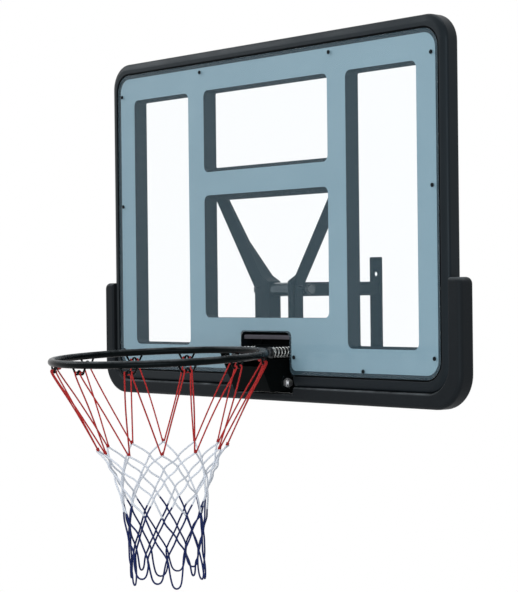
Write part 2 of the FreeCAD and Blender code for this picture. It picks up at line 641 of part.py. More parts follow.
def rim_bracket():
    """Two cheeks, a slanted apron, a back plate and a top plate, saddled to the ring."""
    rear = BACK_PLATE_DEPTH
    shoulder = RING_HEIGHT + ROD_RADIUS
    slope = (CHEEK_TOE - CHEEK_FRONT) / (shoulder - CHEEK_FOOT)
    outline = [(rear, CHEEK_TOP), (CHEEK_STEP, CHEEK_TOP), (CHEEK_STEP - CHEEK_STEP_SLOPE, shoulder),
               (CHEEK_FRONT, shoulder), (CHEEK_TOE, CHEEK_FOOT), (HINGE_DEPTH, CHEEK_FOOT),
               (rear, HINGE_HEIGHT - SLEEVE_RADIUS)]
    pieces = []
    for side in SIDES:
        ends = sorted((side * CHEEK_INNER, side * CHEEK_OUTER))
        pieces.append(side_plate(outline, *ends))
    apron_front = CHEEK_FRONT + slope * (shoulder - APRON_TOP)
    apron = [(apron_front, APRON_TOP), (CHEEK_TOE, CHEEK_FOOT), (CHEEK_TOE + APRON_THICK, CHEEK_FOOT),
             (apron_front + APRON_THICK, APRON_TOP)]
    pieces.append(side_plate(apron, -CHEEK_INNER, CHEEK_INNER))
    pieces.append(box(-BACK_PLATE_HALF, BACK_PLATE_HALF, rear, rear + BACK_PLATE_THICK,
                      BACK_PLATE_FOOT, BACK_PLATE_TOP))
    pieces.append(box(-TOP_PLATE_HALF, TOP_PLATE_HALF, RING_RADIUS - RING_CENTRE_OUT, rear + OVERCUT,
                      TOP_PLATE_TOP - TOP_PLATE_THICK, TOP_PLATE_TOP))
    body = pieces[0].fuse(pieces[1:])
    cuts = [spring_slot(side) for side in SIDES]
    cuts.append(rod_x(HINGE_RADIUS + HINGE_CLEARANCE, HINGE_DEPTH, HINGE_HEIGHT, -BASE_HALF, BASE_HALF))
    cuts.append(ring_place(ring_solid(ROD_RADIUS + HOLE_CLEARANCE)))
    return body.cut(cuts)


def rim_hinge_sleeve():
    return washer(SLEEVE_RADIUS, HINGE_RADIUS + HINGE_CLEARANCE,
                  Vector(-CHEEK_INNER, HINGE_DEPTH, HINGE_HEIGHT),
                  Vector(CHEEK_INNER, HINGE_DEPTH, HINGE_HEIGHT))


def rim_hinge_bolt():
    tip = EAR_OUTER + M12_NUT + WASHER_THICK
    return hex_bolt(HINGE_RADIUS, M12_FLATS, M12_HEAD, Vector(-EAR_OUTER, HINGE_DEPTH, HINGE_HEIGHT),
                    Vector(tip, HINGE_DEPTH, HINGE_HEIGHT))


def rim_hinge_nut():
    return nut(M12_FLATS, HINGE_RADIUS + HOLE_CLEARANCE, Vector(EAR_OUTER, HINGE_DEPTH, HINGE_HEIGHT),
               Vector(EAR_OUTER + M12_NUT, HINGE_DEPTH, HINGE_HEIGHT))


def spring_bolt(side):
    x = side * SPRING_BOLT_X
    head = SPRING_WASHER_BACK - WASHER_THICK
    return hex_bolt(SPRING_BOLT_RADIUS, M10_FLATS, M10_HEAD, Vector(x, head, SPRING_BOLT_HEIGHT),
                    Vector(x, POST_BACK + M10_NUT + WASHER_THICK, SPRING_BOLT_HEIGHT))


def spring_washer(side):
    x = side * SPRING_BOLT_X
    return washer(SPRING_WASHER_RADIUS, SPRING_BOLT_RADIUS + HOLE_CLEARANCE,
                  Vector(x, SPRING_WASHER_BACK - WASHER_THICK, SPRING_BOLT_HEIGHT),
                  Vector(x, SPRING_WASHER_BACK, SPRING_BOLT_HEIGHT))


def spring_stop_tube(side):
    """Tube on the spring bolt that the back plate rests against."""
    x = side * SPRING_BOLT_X
    return washer(STOP_TUBE_RADIUS, SPRING_BOLT_RADIUS + HOLE_CLEARANCE,
                  Vector(x, BACK_PLATE_DEPTH + BACK_PLATE_THICK, SPRING_BOLT_HEIGHT),
                  Vector(x, BASE_FRONT, SPRING_BOLT_HEIGHT))


def spring_nut(side):
    x = side * SPRING_BOLT_X
    return nut(M10_FLATS, SPRING_BOLT_RADIUS + HOLE_CLEARANCE, Vector(x, POST_BACK, SPRING_BOLT_HEIGHT),
               Vector(x, POST_BACK + M10_NUT, SPRING_BOLT_HEIGHT))


def base_bolt(side):
    x = side * BASE_BOLT_X
    return hex_bolt(SPRING_BOLT_RADIUS, M10_FLATS, M10_HEAD, Vector(x, BASE_FRONT, BASE_BOLT_HEIGHT),
                    Vector(x, POST_BACK + M10_NUT + WASHER_THICK, BASE_BOLT_HEIGHT))


def base_nut(side):
    x = side * BASE_BOLT_X
    return nut(M10_FLATS, SPRING_BOLT_RADIUS + HOLE_CLEARANCE, Vector(x, POST_BACK, BASE_BOLT_HEIGHT),
               Vector(x, POST_BACK + M10_NUT, BASE_BOLT_HEIGHT))


def tangent_arc(start, tangent, end):
    """Arc that leaves start along a unit tangent and ends at end."""
    chord = end - start
    across = Vector(chord).normalize()
    turn = acos(max(-1.0, min(1.0, tangent.dot(across))))
    bulge = (tangent - across * tangent.dot(across)).normalize()
    middle = (start + end) * 0.5 + bulge * (chord.Length / 2 * tan(turn / 2))
    return Part.Arc(start, middle, end).toShape()


def biarc(start, start_tangent, end, end_tangent):
    """Two arcs, tangent to each other and to both given directions."""
    gap = end - start
    both = start_tangent + end_tangent
    spread = 2 * (1 - start_tangent.dot(end_tangent))
    reach = gap.dot(both)
    handle = (-reach + sqrt(reach * reach + spread * gap.dot(gap))) / spread
    joint = (start + start_tangent * handle + end - end_tangent * handle) * 0.5
    second = tangent_arc(end, end_tangent * -1, joint)
    return [tangent_arc(start, start_tangent, joint), second.reversed()]


def spring_rise(turn):
    """Height of the wire's centre along the axis after a number of turns: close end coils."""
    total = SPRING_ACTIVE_TURNS + 2
    free = SPRING_LENGTH - 2 * SPRING_WIRE - 2 * SPRING_END_PITCH
    active_pitch = free / SPRING_ACTIVE_TURNS
    if turn <= 1:
        return SPRING_END_PITCH * turn
    if turn >= total - 1:
        return SPRING_LENGTH - 2 * SPRING_WIRE - SPRING_END_PITCH * (total - turn)
    return SPRING_END_PITCH + active_pitch * (turn - 1)


def spring_point(turn):
    coil = SPRING_OUTER - SPRING_WIRE
    angle = 2 * pi * turn
    return Vector(coil * cos(angle), SPRING_WIRE + spring_rise(turn), coil * sin(angle))


def spring_tangent(turn):
    step = 0.01
    return (spring_point(turn + step) - spring_point(turn - step)).normalize()


def rim_spring(side):
    """One compression spring, wound as a single tube of half-turn biarcs."""
    total = SPRING_ACTIVE_TURNS + 2
    halves = 2 * total
    edges = []
    for k in range(halves):
        start = k / 2
        end = (k + 1) / 2
        edges += biarc(spring_point(start), spring_tangent(start), spring_point(end), spring_tangent(end))
    path = Part.Wire(edges)
    begin = edges[0].valueAt(edges[0].FirstParameter)
    along = spring_tangent(0)
    outward = Vector(begin.x, 0, begin.z).normalize()
    upward = along.cross(outward)
    ring = []
    for k in range(WIRE_SIDES):
        angle = 2 * pi * k / WIRE_SIDES
        ring.append(begin + outward * (SPRING_WIRE * cos(angle)) + upward * (SPRING_WIRE * sin(angle)))
    profile = Part.makePolygon(ring + ring[:1])
    solid = path.makePipeShell([profile], True, False)
    solid.translate(Vector(side * SPRING_BOLT_X, SPRING_WASHER_BACK, SPRING_BOLT_HEIGHT))
    return solid


def print_spring_gap():
    """Print the least gap between the spring wire and itself, measured on points."""
    steps = 48
    total = SPRING_ACTIVE_TURNS + 2
    points = [spring_point(k / steps) for k in range(steps * total + 1)]
    least = min((points[i] - points[j]).Length
                for i in range(len(points)) for j in range(i + steps // 2, len(points)))
    print("spring wire least gap to itself:", round(least - 2 * SPRING_WIRE, 2), "mm")


# Net hooks and net, in the ring's own frame

def turned(shape, angle):
    moved = shape.copy()
    moved.rotate(Vector(0, 0, 0), Vector(0, 0, 1), angle)
    return moved


def hook_angle(k):
    return HOOK_TURN + HOOK_PITCH * k


def net_hooks():
    """Bent wire clips, each a wave with two dips, welded under the ring at even angles."""
    wave_height = HOOK_BOTTOM + HOOK_BEND
    start = Vector(RING_RADIUS, -HOOK_SPAN, -ROD_RADIUS / 2)
    points = [start]
    for centre, way in ((-2, -1), (0, 1), (2, -1)):
        for step in range(0 if centre < 0 else 1, 5):
            swing = pi * step / 4
            points.append(Vector(RING_RADIUS, HOOK_BEND * (centre - cos(swing)),
                                 wave_height + way * HOOK_BEND * sin(swing)))
    points.append(Vector(start.x, -start.y, start.z))
    clip = cord_solid(cord_sections(points, HOOK_WIRE, HOOK_SIDES))
    clip = clip.cut(ring_solid(ROD_RADIUS + HOLE_CLEARANCE))
    clip = max(clip.Solids, key=lambda solid: solid.Volume)
    return [ring_place(turned(clip, hook_angle(k))) for k in range(HOOK_COUNT)]


def polar(radius, angle, z):
    return Vector(radius * cos(radians(angle)), radius * sin(radians(angle)), z)


def cord_sections(points, thickness, sides):
    """Polygons square to a cord's run at each of its points, turned as little as can be."""
    sections = []
    count = len(points)
    side = None
    for k in range(count):
        along = (points[min(k + 1, count - 1)] - points[max(k - 1, 0)]).normalize()
        if side is None:
            side = Vector(points[0].x, points[0].y, 0)
        side = (side - along * side.dot(along)).normalize()
        third = along.cross(side)
        ring = []
        for step in range(sides):
            angle = 2 * pi * step / sides
            ring.append(points[k] + side * (thickness * cos(angle)) + third * (thickness * sin(angle)))
        sections.append(Part.makePolygon(ring + ring[:1]))
    return sections


def cord_solid(sections):
    return Part.makeLoft(sections, True, True)


def mesh_cord_points(first_angle):
    """A cord runs down one way through the rows, hangs in a loop and runs up the other way."""
    half = HOOK_PITCH / 2
    rows = list(zip(ROW_DROPS, ROW_RADII))
    down = []
    for k, (drop, radius) in enumerate(rows):
        lowered = drop + (KNOT_HEIGHT / 2 + CORD_RADIUS if k == 0 else 0)
        down.append(polar(radius + LAYER_OFFSET, first_angle + half * k, -lowered))
    last_angle = first_angle + half * (len(rows) - 1)
    low_drop, low_radius = rows[-1]
    loop = []
    for k in range(LOOP_STEPS + 1):
        swing = pi * k / LOOP_STEPS
        offset = degrees(LOOP_RADIUS * cos(swing) / low_radius)
        fall = low_drop + LOOP_DROP - LOOP_RADIUS + LOOP_RADIUS * sin(swing)
        radius = low_radius + LAYER_OFFSET * cos(swing)
        loop.append(polar(radius, last_angle + half - offset, -fall))
    up = []
    for k, (drop, radius) in enumerate(reversed(rows)):
        row = len(rows) - 1 - k
        lowered = drop + (KNOT_HEIGHT / 2 + CORD_RADIUS if row == 0 else 0)
        up.append(polar(radius - LAYER_OFFSET, last_angle + HOOK_PITCH + half * k, -lowered))
    return down + loop + up


def net_mesh():
    """White upper pieces and blue lower pieces of the crossing cords."""
    white = []
    blue = []
    for k in range(HOOK_COUNT):
        sections = cord_sections(mesh_cord_points(hook_angle(k + 0.5)), CORD_RADIUS, CORD_SIDES)
        split = WHITE_ROW_COUNT + 1
        white.append(cord_solid(sections[:split]))
        blue.append(cord_solid(sections[WHITE_ROW_COUNT:len(sections) - WHITE_ROW_COUNT]))
        white.append(cord_solid(sections[-split:]))
    return [ring_place(s) for s in white], [ring_place(s) for s in blue]


def net_legs():
    """One cord to each hook: up from a knot, over both dips and down to the next knot."""
    reach = HOOK_WIRE + CORD_RADIUS + CORD_HOOK_GAP
    spread = CORD_RADIUS + CORD_GAP
    foot_height = -ROW_DROPS[0] + KNOT_HEIGHT / 2 + CORD_RADIUS
    solids = []
    for k in range(HOOK_COUNT):
        radial = polar(1, hook_angle(k), 0)
        tangent = polar(1, hook_angle(k) + 90, 0)
        points = []
        for side in SIDES:
            knot_angle = hook_angle(k + side / 2)
            foot = polar(ROW_RADII[0], knot_angle, foot_height) - polar(side * spread, knot_angle + 90, 0)
            dip = radial * RING_RADIUS + tangent * (side * 2 * HOOK_BEND) + Vector(0, 0, HOOK_BOTTOM)
            run = [foot]
            for step in range(5):
                swing = pi * step / 4
                run.append(dip - radial * (reach * cos(swing)) + Vector(0, 0, reach * sin(swing)))
            points += run if side < 0 else run[::-1]
        solids.append(ring_place(cord_solid(cord_sections(points, CORD_RADIUS, CORD_SIDES))))
    return solids


def net_knots():
    knots = []
    for k in range(HOOK_COUNT):
        centre = polar(ROW_RADII[0], hook_angle(k + 0.5), -ROW_DROPS[0])
        half = Vector(0, 0, KNOT_HEIGHT / 2)
        knots.append(ring_place(hex_prism(KNOT_RADIUS * sqrt(3), centre - half, centre + half)))
    return knots


def mirrored(shape):
    return shape.mirror(Vector(0, 0, 0), Vector(1, 0, 0))


def export(name, solids):
    """Write one node, moved so that the origin is the centre of the wall bolts."""
    shape = Part.makeCompound(solids) if isinstance(solids, list) else solids
    moved = shape.copy()
    moved.translate(Vector(0, -WALL_REACH, -WALL_CENTRE_HEIGHT))
    moved.exportStep("parts/" + name + ".step")


def main():
    os.makedirs("parts", exist_ok=True)
    export("backboard_frame", backboard_frame())
    export("backboard_sheet", backboard_sheet())
    export("printed_border", printed_border())
    export("edge_pad", edge_pad())
    post = right_post()
    upper_arm = right_arm(UPPER_ARM_HEIGHT)
    lower_arm = right_arm(LOWER_ARM_HEIGHT)
    wall_bar = right_wall_bar()
    for name, shape in (("post", post), ("upper_arm", upper_arm), ("lower_arm", lower_arm),
                        ("wall_bar", wall_bar)):
        export("right_" + name, shape)
        export("left_" + name, mirrored(shape))
    for level, height in (("upper", UPPER_ARM_HEIGHT), ("lower", LOWER_ARM_HEIGHT)):
        export(level + "_cross_bolt", cross_bolt(height))
        export(level + "_spacer_tube", spacer_tube(height))
    export("cross_bolt_washers", cross_bolt_washers())
    export("cross_bolt_nuts", cross_bolt_nuts())
    export("frame_bolts", frame_bolts())
    export("rim_base", rim_base())
    export("rim_bracket", rim_bracket())
    export("rim_hinge_sleeve", rim_hinge_sleeve())
    export("rim_hinge_bolt", rim_hinge_bolt())
    export("rim_hinge_nut", rim_hinge_nut())
    export("spring_bolts", on_both_sides(spring_bolt))
    export("spring_washers", on_both_sides(spring_washer))
    export("spring_stop_tubes", on_both_sides(spring_stop_tube))
    export("spring_nuts", on_both_sides(spring_nut))
    export("base_bolts", on_both_sides(base_bolt))
    export("base_nuts", on_both_sides(base_nut))
    export("rim_springs", on_both_sides(rim_spring))
    print_spring_gap()
    export("rim_ring", ring_place(ring_solid(ROD_RADIUS)))
    export("net_hooks", net_hooks())
    export("net_red", net_legs() + net_knots())
    white, blue = net_mesh()
    export("net_white", white)
    export("net_blue", blue)


main()
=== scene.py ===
# %% [markdown]
# # A wall-mounted basketball board, dressed around its CAD frame
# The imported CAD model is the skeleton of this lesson. It is loaded once, never moved and never
# edited. Each step below takes one piece or one finish of the real board, says how it is made, and
# builds it in the same coordinates, in metres.

# %% Load the frame and keep the CAD box
import json
from math import cos, pi, radians, sin, sqrt

import bmesh
import bpy
from mathutils import Matrix, Vector

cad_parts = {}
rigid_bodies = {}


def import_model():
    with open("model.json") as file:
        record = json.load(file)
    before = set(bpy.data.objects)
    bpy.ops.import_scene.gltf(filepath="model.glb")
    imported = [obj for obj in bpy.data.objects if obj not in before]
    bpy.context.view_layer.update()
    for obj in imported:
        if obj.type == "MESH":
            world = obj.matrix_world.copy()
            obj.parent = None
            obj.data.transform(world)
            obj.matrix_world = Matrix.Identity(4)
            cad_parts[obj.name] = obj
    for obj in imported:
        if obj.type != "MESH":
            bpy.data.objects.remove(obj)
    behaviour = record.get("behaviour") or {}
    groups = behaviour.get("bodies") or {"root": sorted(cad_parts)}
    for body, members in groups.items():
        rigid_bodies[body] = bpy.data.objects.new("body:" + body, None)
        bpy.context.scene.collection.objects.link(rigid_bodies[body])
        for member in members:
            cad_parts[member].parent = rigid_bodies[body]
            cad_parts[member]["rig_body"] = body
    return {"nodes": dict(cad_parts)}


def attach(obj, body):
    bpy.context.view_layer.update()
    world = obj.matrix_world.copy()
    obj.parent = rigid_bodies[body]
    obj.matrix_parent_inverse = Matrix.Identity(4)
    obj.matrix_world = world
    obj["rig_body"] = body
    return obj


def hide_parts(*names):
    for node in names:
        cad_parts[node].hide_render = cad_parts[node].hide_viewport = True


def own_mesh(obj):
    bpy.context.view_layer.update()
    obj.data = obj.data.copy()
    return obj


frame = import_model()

scene = bpy.context.scene
scene.view_settings.view_transform = "Standard"
cad_nodes = frame["nodes"]
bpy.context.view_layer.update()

# %% [markdown]
# ## Places on the board
# The CAD was drawn in millimetres: across the board, back from its front face, and up from the foot
# of the pad. One helper turns such a triple into the shared frame, whose origin is the middle of the
# wall bolts, so places below can be compared with the CAD source by eye. Places on the drawing stay
# in millimetres, and sizes that go straight into a mesh are in metres.

# %% From drawing millimetres to the shared frame
WALL_REACH = 295.0
WALL_CENTRE_HEIGHT = 162.0


def place(across, depth, height):
    """Metres in the shared frame for a point of the drawing in millimetres."""
    return Vector((across, depth - WALL_REACH, height - WALL_CENTRE_HEIGHT)) / 1000.0


print("board front plane at y =", place(0, 0, 0).y)

# %% [markdown]
# ## The camera
# The photograph was taken from the right front, almost level with the board. A camera is nothing but
# a place, three axes and a focal length, so it is set from those directly. The film's width belongs
# to the longer side of the picture, which here is its height.

# %% Camera
PICTURE_HEIGHT = 592
FOCAL_PIXELS = 1793.4
CAMERA_SPOT = (3.0885, -2.9886, 0.0865)
turn = radians(49.05)
tilt = radians(-0.14)
roll = radians(-0.643)

level_right = Vector((cos(turn), sin(turn), 0.0))
ahead = Vector((-sin(turn) * cos(tilt), cos(turn) * cos(tilt), sin(tilt)))
level_up = level_right.cross(ahead)
camera_right = level_right * cos(roll) + level_up * sin(roll)
camera_up = level_up * cos(roll) - level_right * sin(roll)

camera_data = bpy.data.cameras.new("board_camera")
camera_data.sensor_width = 36.0
camera_data.lens = FOCAL_PIXELS * camera_data.sensor_width / PICTURE_HEIGHT
camera = bpy.data.objects.new("board_camera", camera_data)
scene.collection.objects.link(camera)
axes = Matrix((camera_right, camera_up, -ahead)).transposed().to_4x4()
camera.matrix_world = Matrix.Translation(CAMERA_SPOT) @ axes
scene.camera = camera
print("lens", round(camera_data.lens, 2), "mm")

# %% [markdown]
# ## Small helpers for shader nodes
# Materials are written as node trees. Three short helpers keep that readable: one adds a node with its
# settings and its fixed socket values, one joins an output to inputs, and one does arithmetic.

# %% Node helpers
def add_node(tree, kind, values=None, **settings):
    made = tree.nodes.new(kind)
    for name, value in settings.items():
        setattr(made, name, value)
    for socket, value in (values or {}).items():
        made.inputs[socket].default_value = value
    return made


def join(tree, output, *inputs):
    for socket in inputs:
        tree.links.new(output, socket)


def math_node(tree, operation, first, second):
    """A Math node; each operand is a number or an output."""
    made = add_node(tree, "ShaderNodeMath", operation=operation)
    for socket, operand in zip(made.inputs, (first, second)):
        if isinstance(operand, (int, float)):
            socket.default_value = operand
        else:
            join(tree, operand, socket)
    return made.outputs[0]


print("node helpers ready")

# %% [markdown]
# ## White studio
# The board hangs in front of plain white. The world is pure white where the camera, a mirror or the
# clear sheet looks at it. As a light it is softer, and brighter from above than from below, so that
# rounded edges are modelled by the light instead of being washed out.

# %% World
world = bpy.data.worlds.new("white_studio")
scene.world = world
world.use_nodes = True
tree = world.node_tree
tree.nodes.clear()
rays = add_node(tree, "ShaderNodeLightPath")
seen = math_node(tree, "MAXIMUM", rays.outputs["Is Camera Ray"], rays.outputs["Is Glossy Ray"])
seen = math_node(tree, "MAXIMUM", seen, rays.outputs["Is Transmission Ray"])
where = add_node(tree, "ShaderNodeTexCoord")
parts = add_node(tree, "ShaderNodeSeparateXYZ")
height = add_node(tree, "ShaderNodeMapRange",
                  {"From Min": -0.6, "From Max": 1.0, "To Min": 0.22, "To Max": 0.85})
soft = add_node(tree, "ShaderNodeBackground", {"Color": (0.96, 0.98, 1.0, 1.0)})
white = add_node(tree, "ShaderNodeBackground", {"Color": (1.0, 1.0, 1.0, 1.0), "Strength": 1.0})
either = add_node(tree, "ShaderNodeMixShader")
sky = add_node(tree, "ShaderNodeOutputWorld")
join(tree, where.outputs["Generated"], parts.inputs[0])
join(tree, parts.outputs["Z"], height.inputs["Value"])
join(tree, height.outputs["Result"], soft.inputs["Strength"])
join(tree, seen, either.inputs[0])
join(tree, soft.outputs[0], either.inputs[1])
join(tree, white.outputs[0], either.inputs[2])
join(tree, either.outputs[0], sky.inputs["Surface"])
print("world", world.name)

# %% [markdown]
# ## Soft boxes
# Three large area lamps stand where a photographer would put them: a key in front of the board and
# to its right, a strip along its top, and a far one on the left. Seen from the camera, the sloped top
# rail mirrors the far lamp and turns lighter than the side rails. The lamps are hidden from the camera
# and from rays that pass through the sheet.

# %% Lamps
def soft_box(name, spot, aim, width, height, power):
    data = bpy.data.lights.new(name, "AREA")
    data.shape = "RECTANGLE"
    data.size = width
    data.size_y = height
    data.energy = power
    lamp = bpy.data.objects.new(name, data)
    scene.collection.objects.link(lamp)
    lamp.location = spot
    lamp.rotation_euler = (Vector(aim) - Vector(spot)).to_track_quat("-Z", "Y").to_euler()
    lamp.visible_camera = False
    lamp.visible_transmission = False


soft_box("key_box", spot=(2.1, -3.1, 0.2), aim=(0.0, -0.3, 0.1), width=2.6, height=1.8, power=62.0)
soft_box("top_box", spot=(0.3, -0.5, 3.0), aim=(0.0, -0.3, 0.2), width=2.6, height=1.2, power=18.0)
soft_box("far_box", spot=(-3.5, -2.6, 2.55), aim=(0.0, -0.3, 0.5), width=2.2, height=1.6, power=58.0)

# %% [markdown]
# ## Floor
# A board like this hangs with its ring 3.05 m above the ground. The floor is a pale disc at that
# depth, a circle with its inside filled.

# %% Floor disc
RING_HEIGHT = 108.5
RING_ABOVE_FLOOR = 3.05
FLOOR_RADIUS = 3.4
FLOOR_FORWARD = 0.5
FLOOR_LEVEL = place(0, 0, RING_HEIGHT).z - RING_ABOVE_FLOOR


def piece_from(bm, name):
    """Turn a finished bmesh into an object at the origin, with smooth faces."""
    mesh = bpy.data.meshes.new(name)
    for face in bm.faces:
        face.smooth = True
    bm.to_mesh(mesh)
    bm.free()
    made = bpy.data.objects.new(name, mesh)
    scene.collection.objects.link(made)
    return made


bm = bmesh.new()
bmesh.ops.create_circle(bm, cap_ends=True, segments=96, radius=FLOOR_RADIUS)
bmesh.ops.translate(bm, verts=bm.verts, vec=(0.0, -FLOOR_FORWARD, FLOOR_LEVEL))
floor = piece_from(bm, "floor")
print("floor at z =", round(FLOOR_LEVEL, 3))

# %% [markdown]
# The disc fades out towards its rim, so that a view from above shows the soft shadow and no edge. The
# distance from its middle, measured flat, drives the alpha.

# %% Floor finish
FADE_START = 1.2
FADE_END = FLOOR_RADIUS - 0.1
floor_finish = bpy.data.materials.new("pale_floor")
floor_finish.use_nodes = True
tree = floor_finish.node_tree
shader = tree.nodes["Principled BSDF"]
shader.inputs["Base Color"].default_value = (0.86, 0.86, 0.85, 1.0)
shader.inputs["Roughness"].default_value = 0.7
coords = add_node(tree, "ShaderNodeTexCoord")
centre = add_node(tree, "ShaderNodeMapping", {"Location": (0.0, FLOOR_FORWARD, 0.0)})
flat = add_node(tree, "ShaderNodeVectorMath", {1: (1.0, 1.0, 0.0)}, operation="MULTIPLY")
distance = add_node(tree, "ShaderNodeVectorMath", operation="LENGTH")
fade = add_node(tree, "ShaderNodeMapRange",
                {"From Min": FADE_START, "From Max": FADE_END, "To Min": 1.0, "To Max": 0.0},
                interpolation_type="SMOOTHSTEP")
join(tree, coords.outputs["Object"], centre.inputs["Vector"])
join(tree, centre.outputs["Vector"], flat.inputs[0])
join(tree, flat.outputs[0], distance.inputs[0])
join(tree, distance.outputs["Value"], fade.inputs["Value"])
join(tree, fade.outputs["Result"], shader.inputs["Alpha"])
floor.data.materials.append(floor_finish)
print("floor fades from", FADE_START, "to", round(FADE_END, 2), "m")

# %% [markdown]
# ## Effects that several finishes share
# Moulded plastic, foam skin and powder coat all show a fine grain, patches of different gloss, edges
# rubbed a little lighter, and dust where a face looks up. Turned up on the pad and the ring, the lighter
# edges and tops are painted highlights as well as wear and dust. Each effect is built once as a node
# group with named inputs and outputs, and every material places it with its own values. The first is
# the grain: a fine noise for the bump and a broad one for the patches.

# %% Grain
def start_group(name, numbers, outputs):
    tree = bpy.data.node_groups.new(name, "ShaderNodeTree")
    for label, value in numbers.items():
        socket = tree.interface.new_socket(label, in_out="INPUT", socket_type="NodeSocketFloat")
        socket.default_value = value
    for label in outputs:
        tree.interface.new_socket(label, in_out="OUTPUT", socket_type="NodeSocketFloat")
    return tree, tree.nodes.new("NodeGroupInput"), tree.nodes.new("NodeGroupOutput")


grain_group, given, result = start_group("skin_grain", {"Grain Scale": 900.0, "Patch Scale": 14.0},
                                         ["Height", "Patches"])
coords = add_node(grain_group, "ShaderNodeTexCoord")
fine = add_node(grain_group, "ShaderNodeTexNoise", {"Detail": 3.0, "Roughness": 0.6})
broad = add_node(grain_group, "ShaderNodeTexNoise", {"Detail": 5.0, "Roughness": 0.65})
patches = add_node(grain_group, "ShaderNodeMapRange", {"From Min": 0.35, "From Max": 0.65})
join(grain_group, coords.outputs["Object"], fine.inputs["Vector"], broad.inputs["Vector"])
join(grain_group, given.outputs["Grain Scale"], fine.inputs["Scale"])
join(grain_group, given.outputs["Patch Scale"], broad.inputs["Scale"])
join(grain_group, broad.outputs[0], patches.inputs["Value"])
join(grain_group, fine.outputs[0], result.inputs["Height"])
join(grain_group, patches.outputs["Result"], result.inputs["Patches"])
print("group", grain_group.name)

# %% [markdown]
# The rub compares the true normal with one that is rounded over the nearest edge. Where they differ
# there is an edge, and a noise breaks it up, because nothing wears evenly. Where a finish turns it up,
# as on the pad, the lighter edge is a painted highlight.

# %% Edge rub and painted edge highlight
rub_and_sheen_group, given, result = start_group("edge_rub_and_sheen", {"Reach": 0.002, "Breakup": 70.0}, ["Rub"])
rounded = add_node(rub_and_sheen_group, "ShaderNodeBevel", samples=4)
surface = add_node(rub_and_sheen_group, "ShaderNodeNewGeometry")
agree = add_node(rub_and_sheen_group, "ShaderNodeVectorMath", operation="DOT_PRODUCT")
edge = add_node(rub_and_sheen_group, "ShaderNodeMapRange", {"From Min": 0.995, "From Max": 0.86})
coords = add_node(rub_and_sheen_group, "ShaderNodeTexCoord")
broken = add_node(rub_and_sheen_group, "ShaderNodeTexNoise", {"Detail": 4.0, "Roughness": 0.7})
worn_and_sheen = add_node(rub_and_sheen_group, "ShaderNodeMapRange", {"From Min": 0.4, "From Max": 0.65})
join(rub_and_sheen_group, given.outputs["Reach"], rounded.inputs["Radius"])
join(rub_and_sheen_group, rounded.outputs[0], agree.inputs[0])
join(rub_and_sheen_group, surface.outputs["Normal"], agree.inputs[1])
join(rub_and_sheen_group, agree.outputs["Value"], edge.inputs["Value"])
join(rub_and_sheen_group, coords.outputs["Object"], broken.inputs["Vector"])
join(rub_and_sheen_group, given.outputs["Breakup"], broken.inputs["Scale"])
join(rub_and_sheen_group, broken.outputs[0], worn_and_sheen.inputs["Value"])
rub_and_sheen_mask = math_node(rub_and_sheen_group, "MULTIPLY", edge.outputs["Result"], worn_and_sheen.outputs["Result"])
join(rub_and_sheen_group, rub_and_sheen_mask, result.inputs["Rub"])
print("group", rub_and_sheen_group.name)

# %% [markdown]
# Dust settles where a face looks up, in clouds. The height of the normal gives the first and a noise
# the second. Where a finish turns it up, as on the ring and the pad, the lighter top is a painted
# highlight.

# %% Dust and painted top highlight
dust_and_sheen_group, given, result = start_group("dust_and_top_sheen", {"Cloud Scale": 22.0}, ["Dust"])
coords = add_node(dust_and_sheen_group, "ShaderNodeTexCoord")
facing = add_node(dust_and_sheen_group, "ShaderNodeSeparateXYZ")
upward = add_node(dust_and_sheen_group, "ShaderNodeMapRange", {"From Min": 0.35, "From Max": 1.0})
clouds = add_node(dust_and_sheen_group, "ShaderNodeTexNoise", {"Detail": 6.0, "Roughness": 0.7})
thick = add_node(dust_and_sheen_group, "ShaderNodeMapRange", {"From Min": 0.35, "From Max": 0.7})
join(dust_and_sheen_group, coords.outputs["Normal"], facing.inputs[0])
join(dust_and_sheen_group, facing.outputs["Z"], upward.inputs["Value"])
join(dust_and_sheen_group, coords.outputs["Object"], clouds.inputs["Vector"])
join(dust_and_sheen_group, given.outputs["Cloud Scale"], clouds.inputs["Scale"])
join(dust_and_sheen_group, clouds.outputs[0], thick.inputs["Value"])
dust_and_sheen_mask = math_node(dust_and_sheen_group, "MULTIPLY", upward.outputs["Result"], thick.outputs["Result"])
join(dust_and_sheen_group, dust_and_sheen_mask, result.inputs["Dust"])
print("group", dust_and_sheen_group.name)

# %% [markdown]
# ## Writing a finish
# Every finish is a Principled shader with some of the groups in front of it. These helpers start one,
# place a group in it, mix two colours, spread a mask between two numbers, and raise a bump.

# %% Finish helpers
def new_finish(name):
    finish = bpy.data.materials.new(name)
    finish.use_nodes = True
    return finish, finish.node_tree, finish.node_tree.nodes["Principled BSDF"]


def place_group(tree, group, **values):
    made = add_node(tree, "ShaderNodeGroup", node_tree=group)
    for label, value in values.items():
        made.inputs[label.replace("_", " ")].default_value = value
    return made


def tint(tree, factor, first, second):
    """A colour between two; each is a triple or an output, and the factor is an output."""
    mix = add_node(tree, "ShaderNodeMix", data_type="RGBA")
    join(tree, factor, mix.inputs[0])
    # A Mix node has sockets for each data type, and 6 and 7 are its two colours.
    for socket, colour in ((mix.inputs[6], first), (mix.inputs[7], second)):
        if isinstance(colour, tuple):
            socket.default_value = (*colour, 1.0)
        else:
            join(tree, colour, socket)
    return mix.outputs[2]


def between(tree, output, low, high):
    """An output from 0 to 1 spread between two numbers."""
    spread = add_node(tree, "ShaderNodeMapRange", {"To Min": low, "To Max": high})
    join(tree, output, spread.inputs["Value"])
    return spread.outputs["Result"]


def bump(tree, shader, height_output, strength, distance):
    made = add_node(tree, "ShaderNodeBump", {"Strength": strength, "Distance": distance})
    join(tree, height_output, made.inputs["Height"])
    join(tree, made.outputs[0], shader.inputs["Normal"])


